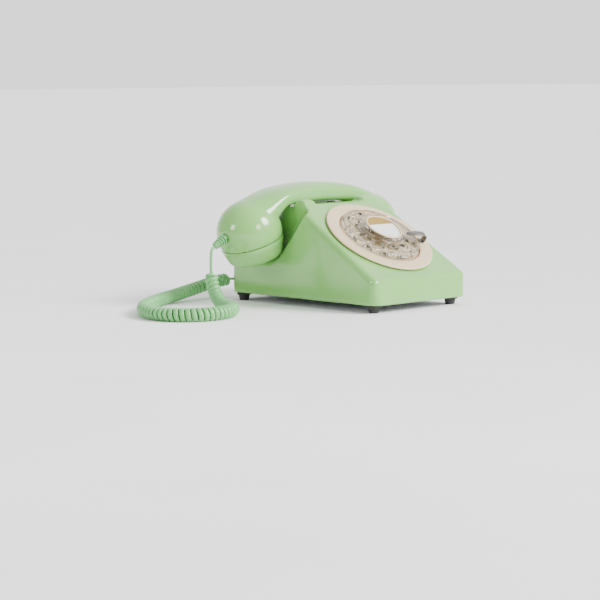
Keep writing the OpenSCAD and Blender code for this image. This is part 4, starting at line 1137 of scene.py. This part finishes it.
def build_wheel(sizes):
    """The clear finger wheel with its ten holes."""
    top = WHEEL_UNDER + WHEEL_RIM
    outline = [
        (SPINDLE_R + 0.05, HUB_TOP - 4), (HUB_R - 3, HUB_TOP - 4), (HUB_R, WHEEL_UNDER + 1.6),
        (WHEEL_D / 2 - 4, WHEEL_UNDER), (WHEEL_D / 2 - 0.6, WHEEL_UNDER), (WHEEL_D / 2 - 0.15, WHEEL_UNDER + 0.2),
        (WHEEL_D / 2, WHEEL_UNDER + 0.6), (WHEEL_D / 2, top - 1.2), (WHEEL_D / 2 - 0.25, top - 0.5),
        (WHEEL_D / 2 - 0.8, top - 0.05), (WHEEL_D / 2 - 1.6, top), (WHEEL_D / 2 - 2.4, top - 0.1),
        (WHEEL_D / 2 - 3.4, top + 0.1), (HUB_R + 2.2, top + 1.3), (HUB_R + 1.2, top + 1.75), (HUB_R + 0.5, top + 2.7),
        (HUB_R + 0.1, HUB_TOP - 0.4), (HUB_R - 0.3, HUB_TOP + 0.4), (HUB_R - 1, HUB_TOP + 0.8),
        (LABEL_D / 2 + 0.2, HUB_TOP + 0.8), (LABEL_D / 2 + 0.2, HUB_TOP), (SPINDLE_R + 0.05, HUB_TOP),
    ]
    wheel = lathe("clear_finger_wheel", outline, None, 192)
    run_tree(wheel, holes_tree(), {
        "Count": sizes.hole_count, "Hole diameter": sizes.hole_diameter, "Circle radius": HOLE_R * MM,
        "First angle": math.radians(FIRST_HOLE), "Step": -math.radians(HOLE_STEP), "Depth": 40 * MM, "Height": 0.0,
        "Material": FINISH["clear_acrylic"],
    })
    tidy(wheel, 1e-6)
    bevelled(wheel, 0.55, 3, 50, 45)
    move(wheel, DIAL_PLACE)
    return finish_piece(wheel, "dial", "clear_acrylic", "finger_wheel")


def build_label():
    """The label's card, its clear window and the ring that holds them."""
    card = lathe("label_paper_disc", [
        (0, HUB_TOP + 0.02), (LABEL_D / 2, HUB_TOP + 0.02), (LABEL_D / 2, HUB_TOP + 0.42), (0, HUB_TOP + 0.42),
    ], DIAL_PLACE, 128)
    finish_piece(card, "dial", "label_paper", "label_card")
    low = HUB_TOP + 0.44
    window = lathe("label_clear_window", [
        (0, low), (LABEL_D / 2 - 0.05, low), (LABEL_D / 2 - 0.05, low + 0.5), (LABEL_D / 2 - 0.4, low + 0.9),
        (LABEL_D / 2 - 1.2, low + 1.12), (LABEL_D / 2 - 4, low + 1.2), (0, low + 1.2),
    ], DIAL_PLACE, 128, 60)
    finish_piece(window, "dial", "window_clear", "label_window")
    low = HUB_TOP + 0.84
    ring = lathe("label_retaining_ring", [
        (LABEL_D / 2 + 0.1, low), (HUB_R - 0.8, low), (HUB_R - 0.6, low + 0.2), (HUB_R - 0.7, low + 0.6),
        (HUB_R - 1.0, low + 0.85), (LABEL_D / 2 + 0.5, low + 0.9), (LABEL_D / 2 + 0.15, low + 0.75),
        (LABEL_D / 2 + 0.1, low + 0.5),
    ], DIAL_PLACE, 160, 60)
    finish_piece(ring, "dial", "cream_abs", "label_ring")


def build_stop():
    """The bent finger stop and its screw."""
    base, tip, low = BEZEL_IN_R + 1, HOLE_R - 2.1, BEZEL_TOP
    strip = [
        (base, low + 0.02), (base + 4.6, low + 0.02), (base + 5.2, low + 0.25), (base + 5.5, low + 0.8),
        (base + 5.8, 5), (base + 6, 7.4), (base + 5.85, 8.5), (base + 5.4, 9.35), (base + 4.6, 10.05),
        (base + 3.5, 10.4), (base + 2.3, 10.6), (base + 1, 10.6), (tip + 10, 10.1), (tip + 4.6, 9.35),
        (tip + 2, 8.8), (tip + 0.4, 8.2), (tip, 7.75), (tip, 7.2), (tip + 2, 7.8), (tip + 4.6, 8.4),
        (tip + 10, 9.15), (base + 1, 9.62), (base + 2.2, 9.55), (base + 3.2, 9.3), (base + 4.1, 8.85),
        (base + 4.7, 8.2), (base + 5, 7.4), (base + 4.75, 5), (base + 4.5, low + 1.3), (base + 4.2, low + 1),
        (base, low + 1),
    ]
    turned = DIAL_PLACE @ Matrix.Rotation(math.radians(90 - STOP_ANGLE), 4, "Z")
    stop = extruded("finger_stop_strip", strip, -3.5, 3.5, Matrix.Rotation(math.pi / 2, 4, "X"))
    plan = [
        (50, -3.4), (35, -3.4), (tip + 2.6, -2.5), (tip + 0.8, -1.9), (tip + 0.1, -0.9), (tip + 0.1, 0.9),
        (tip + 0.8, 1.9), (tip + 2.6, 2.5), (35, 3.4), (50, 3.4),
    ]
    combine(stop, [extruded("plan", plan, 0, 14)], "INTERSECT")
    combine(stop, [rod(0.9, 0, 4, Matrix.Translation(((base + 1.8) * MM, 0, 0)), 32)], "DIFFERENCE")
    tidy(stop)
    bevelled(stop, 0.32, 3, 25, 45)
    move(stop, turned)
    finish_piece(stop, "base", "dark_zinc", "finger_stop")
    screw = lathe("finger_stop_screw_head", [
        (0, low + 0.05), (0.85, low + 0.05), (0.85, low + 1), (1.45, low + 1), (1.5, low + 1.2), (1.3, low + 1.65),
        (0.8, low + 1.88), (0, low + 1.9),
    ], None, 48)
    combine(screw, [block((-2, -0.18, low + 1.45), (2, 0.18, low + 3))], "DIFFERENCE")
    move(screw, turned @ Matrix.Translation(((base + 1.8) * MM, 0, 0)))
    finish_piece(screw, "base", "steel", "finger_stop_screw")


# ======== pieces that keep their CAD shape ========

def dress_cad_nodes():
    """Gives every CAD node that still shows the finish of its slot."""
    slots = {entry["node"]: entry["material_slot"] for entry in frame["record"]["subparts"]}
    for name, made in frame["nodes"].items():
        made.data.materials.clear()
        made.data.materials.append(FINISH[slots[name]])


# ======== stage ========

def build_stage():
    """Floor, soft light and camera."""
    mesh = bpy.data.meshes.new("pale_floor")
    mesh.from_pydata([(-30, -30, 0), (30, -30, 0), (30, 30, 0), (-30, 30, 0)], [], [(0, 1, 2, 3)])
    floor = bpy.data.objects.new("pale_floor", mesh)
    bpy.context.scene.collection.objects.link(floor)
    mesh.materials.append(floor_paint())

    world = bpy.data.worlds.new("studio")
    world.use_nodes = True
    tree = world.node_tree
    sky = add(tree, "ShaderNodeTexCoord").outputs["Generated"]
    side = add(tree, "ShaderNodeSeparateXYZ", {"Vector": sky}).outputs["X"]
    share = add(tree, "ShaderNodeMapRange", {"Value": side, "From Min": -0.75, "From Max": 0.45})
    tone = stepped(tree, share.outputs["Result"], [(0.0, grey(0.22)), (1.0, grey(1.0))], "EASE")
    back = tree.nodes["Background"]
    tree.links.new(tone, back.inputs["Color"])
    back.inputs["Strength"].default_value = 1.6
    bpy.context.scene.world = world

    def lamp(name, at, aim, size, power, tall=None):
        data = bpy.data.lights.new(name, "AREA")
        data.shape = "RECTANGLE"
        data.size, data.size_y = size, tall or size
        data.energy = power
        made = bpy.data.objects.new(name, data)
        bpy.context.scene.collection.objects.link(made)
        made.location = at
        made.rotation_mode = "QUATERNION"
        made.rotation_quaternion = (Vector(aim) - Vector(at)).to_track_quat("-Z", "Y")

    sun = bpy.data.lights.new("key_light", "SUN")
    sun.energy = 4.6
    sun.angle = math.radians(24)
    key = bpy.data.objects.new("key_light", sun)
    bpy.context.scene.collection.objects.link(key)
    key.rotation_mode = "QUATERNION"
    key.rotation_quaternion = Vector((-0.42, 0.84, -0.66)).to_track_quat("-Z", "Y")
    lamp("left_softbox", (-1.44, 0.42, 0.53), (-0.08, 0.05, 0.07), 0.36, 6)
    lamp("front_softbox", (-0.3, -1.34, 0.62), (-0.08, 0.05, 0.07), 0.34, 7)

    az, el, roll = math.radians(43.783), math.radians(6.0528), math.radians(-0.5542)
    back = Vector((-math.sin(az) * math.cos(el), -math.cos(az) * math.cos(el), math.sin(el)))
    level = Vector((math.cos(az), -math.sin(az), 0))
    upright = back.cross(level)
    right = math.cos(roll) * level + math.sin(roll) * upright
    up = -math.sin(roll) * level + math.cos(roll) * upright
    at = Vector((0, 0, 50)) + right * -42.77 + up * -48.06 + back * 2001
    camera = bpy.data.cameras.new("camera")
    camera.sensor_width = 36
    camera.lens = 1.0593 * 2001 / 600 * 36
    made = bpy.data.objects.new("camera", camera)
    bpy.context.scene.collection.objects.link(made)
    place = Matrix((right, up, back)).transposed().to_4x4()
    place.translation = at * MM
    made.matrix_world = place
    bpy.context.scene.camera = made


# ======== settings, operators and panel ========

class TelephoneTints(bpy.types.PropertyGroup):
    """Colours of the mouldings."""

    case_green: StringProperty(
        name="Case green", description="Case and handset colour as sRGB hex", default="88C36B")
    case_green_shade: StringProperty(
        name="Case green, darker", description="The darker drift in the case's colour", default="80BC64")
    surround_cream: StringProperty(
        name="Surround cream", description="Colour of the dial's surround as sRGB hex", default="E6CFA6")
    cord_green: StringProperty(
        name="Cord green", description="Colour of the cord as sRGB hex", default="7BC078")
    cord_green_shade: StringProperty(
        name="Cord green, darker", description="The darker drift in the cord's colour", default="69B069")


class TelephoneSizes(bpy.types.PropertyGroup):
    """Sizes of the detailed pieces."""

    case_grid: FloatProperty(
        name="Case face size", description="Size of the case's even faces", default=0.0013, min=0.0011, max=0.003,
        unit="LENGTH", precision=4)
    handset_grid: FloatProperty(
        name="Handset face size", description="Size of the handset's even faces", default=0.001, min=0.0009,
        max=0.003, unit="LENGTH", precision=4)
    hole_count: IntProperty(name="Finger holes", description="Number of finger holes", default=10, min=1, max=10)
    hole_diameter: FloatProperty(
        name="Finger hole", description="Diameter of a finger hole", default=0.013, min=0.01, max=0.0135,
        unit="LENGTH", precision=4)
    digit_height: FloatProperty(
        name="Digit height", description="Height of a printed digit", default=0.0052, min=0.003, max=0.007,
        unit="LENGTH", precision=4)
    curl_pitch: FloatProperty(
        name="Curl pitch", description="Distance from one turn of the cord to the next", default=0.0049,
        min=0.0045, max=0.008, unit="LENGTH", precision=4)
    cable_wide: FloatProperty(
        name="Cable width", description="Width of the curled cable along the coil", default=0.0044,
        min=0.002, max=0.0048, unit="LENGTH", precision=4)
    cable_thin: FloatProperty(
        name="Cable thickness", description="Thickness of the curled cable across the coil", default=0.0026,
        min=0.0018, max=0.004, unit="LENGTH", precision=4)


class TELEPHONE_OT_stage(bpy.types.Operator):
    """Make the floor, the lights and the camera"""

    bl_idname = "telephone.stage"
    bl_label = "Stage"

    def execute(self, context):
        build_stage()
        return {"FINISHED"}


class TELEPHONE_OT_finishes(bpy.types.Operator):
    """Make every material and dress the CAD nodes in them"""

    bl_idname = "telephone.finishes"
    bl_label = "Finishes"

    def execute(self, context):
        FINISH.update(build_materials(context.scene.telephone_tints))
        dress_cad_nodes()
        return {"FINISHED"}


class TELEPHONE_OT_cord(bpy.types.Operator):
    """Make the curly cord, its strain relief and its gland"""

    bl_idname = "telephone.cord"
    bl_label = "Cord"

    def execute(self, context):
        cord, line = build_cord(context.scene.telephone_sizes)
        relief = build_relief()
        gland = build_gland()
        return {"FINISHED"}


class TELEPHONE_OT_case(bpy.types.Operator):
    """Make the moulded case, its feet and the cradle's plungers"""

    bl_idname = "telephone.case"
    bl_label = "Case"

    def execute(self, context):
        build_case(context.scene.telephone_sizes)
        build_feet()
        build_plungers()
        return {"FINISHED"}


class TELEPHONE_OT_handset(bpy.types.Operator):
    """Make the handset and its two caps"""

    bl_idname = "telephone.handset"
    bl_label = "Handset"

    def execute(self, context):
        build_handset(context.scene.telephone_sizes)
        build_caps()
        return {"FINISHED"}


class TELEPHONE_OT_surround(bpy.types.Operator):
    """Make the dial's surround, number ring and digits"""

    bl_idname = "telephone.surround"
    bl_label = "Dial surround"

    def execute(self, context):
        build_surround()
        build_digits(context.scene.telephone_sizes)
        return {"FINISHED"}


class TELEPHONE_OT_wheel(bpy.types.Operator):
    """Make the finger wheel, its label and the finger stop"""

    bl_idname = "telephone.wheel"
    bl_label = "Finger wheel"

    def execute(self, context):
        build_wheel(context.scene.telephone_sizes)
        build_label()
        build_stop()
        return {"FINISHED"}


STEPS = (
    TELEPHONE_OT_stage, TELEPHONE_OT_finishes, TELEPHONE_OT_cord, TELEPHONE_OT_case, TELEPHONE_OT_handset,
    TELEPHONE_OT_surround, TELEPHONE_OT_wheel,
)


class TELEPHONE_PT_panel(bpy.types.Panel):
    """Lists the telephone's steps and sizes"""

    bl_idname = "TELEPHONE_PT_panel"
    bl_label = "Telephone"
    bl_space_type = "VIEW_3D"
    bl_region_type = "UI"
    bl_category = "Telephone"

    def draw(self, context):
        for step in STEPS:
            self.layout.operator(step.bl_idname)
        for group in (context.scene.telephone_sizes, context.scene.telephone_tints):
            for name in group.bl_rna.properties.keys():
                if name not in ("rna_type", "name"):
                    self.layout.prop(group, name)


CLASSES = (TelephoneTints, TelephoneSizes, *STEPS, TELEPHONE_PT_panel)


def register():
    for made in CLASSES:
        bpy.utils.register_class(made)
    bpy.types.Scene.telephone_tints = PointerProperty(type=TelephoneTints)
    bpy.types.Scene.telephone_sizes = PointerProperty(type=TelephoneSizes)


def unregister():
    del bpy.types.Scene.telephone_sizes
    del bpy.types.Scene.telephone_tints
    for made in reversed(CLASSES):
        bpy.utils.unregister_class(made)


def main():
    register()
    bpy.ops.telephone.stage()
    bpy.ops.telephone.finishes()
    bpy.ops.telephone.cord()
    bpy.ops.telephone.case()
    bpy.ops.telephone.handset()
    bpy.ops.telephone.surround()
    bpy.ops.telephone.wheel()


if __name__ == "__main__":
    main()
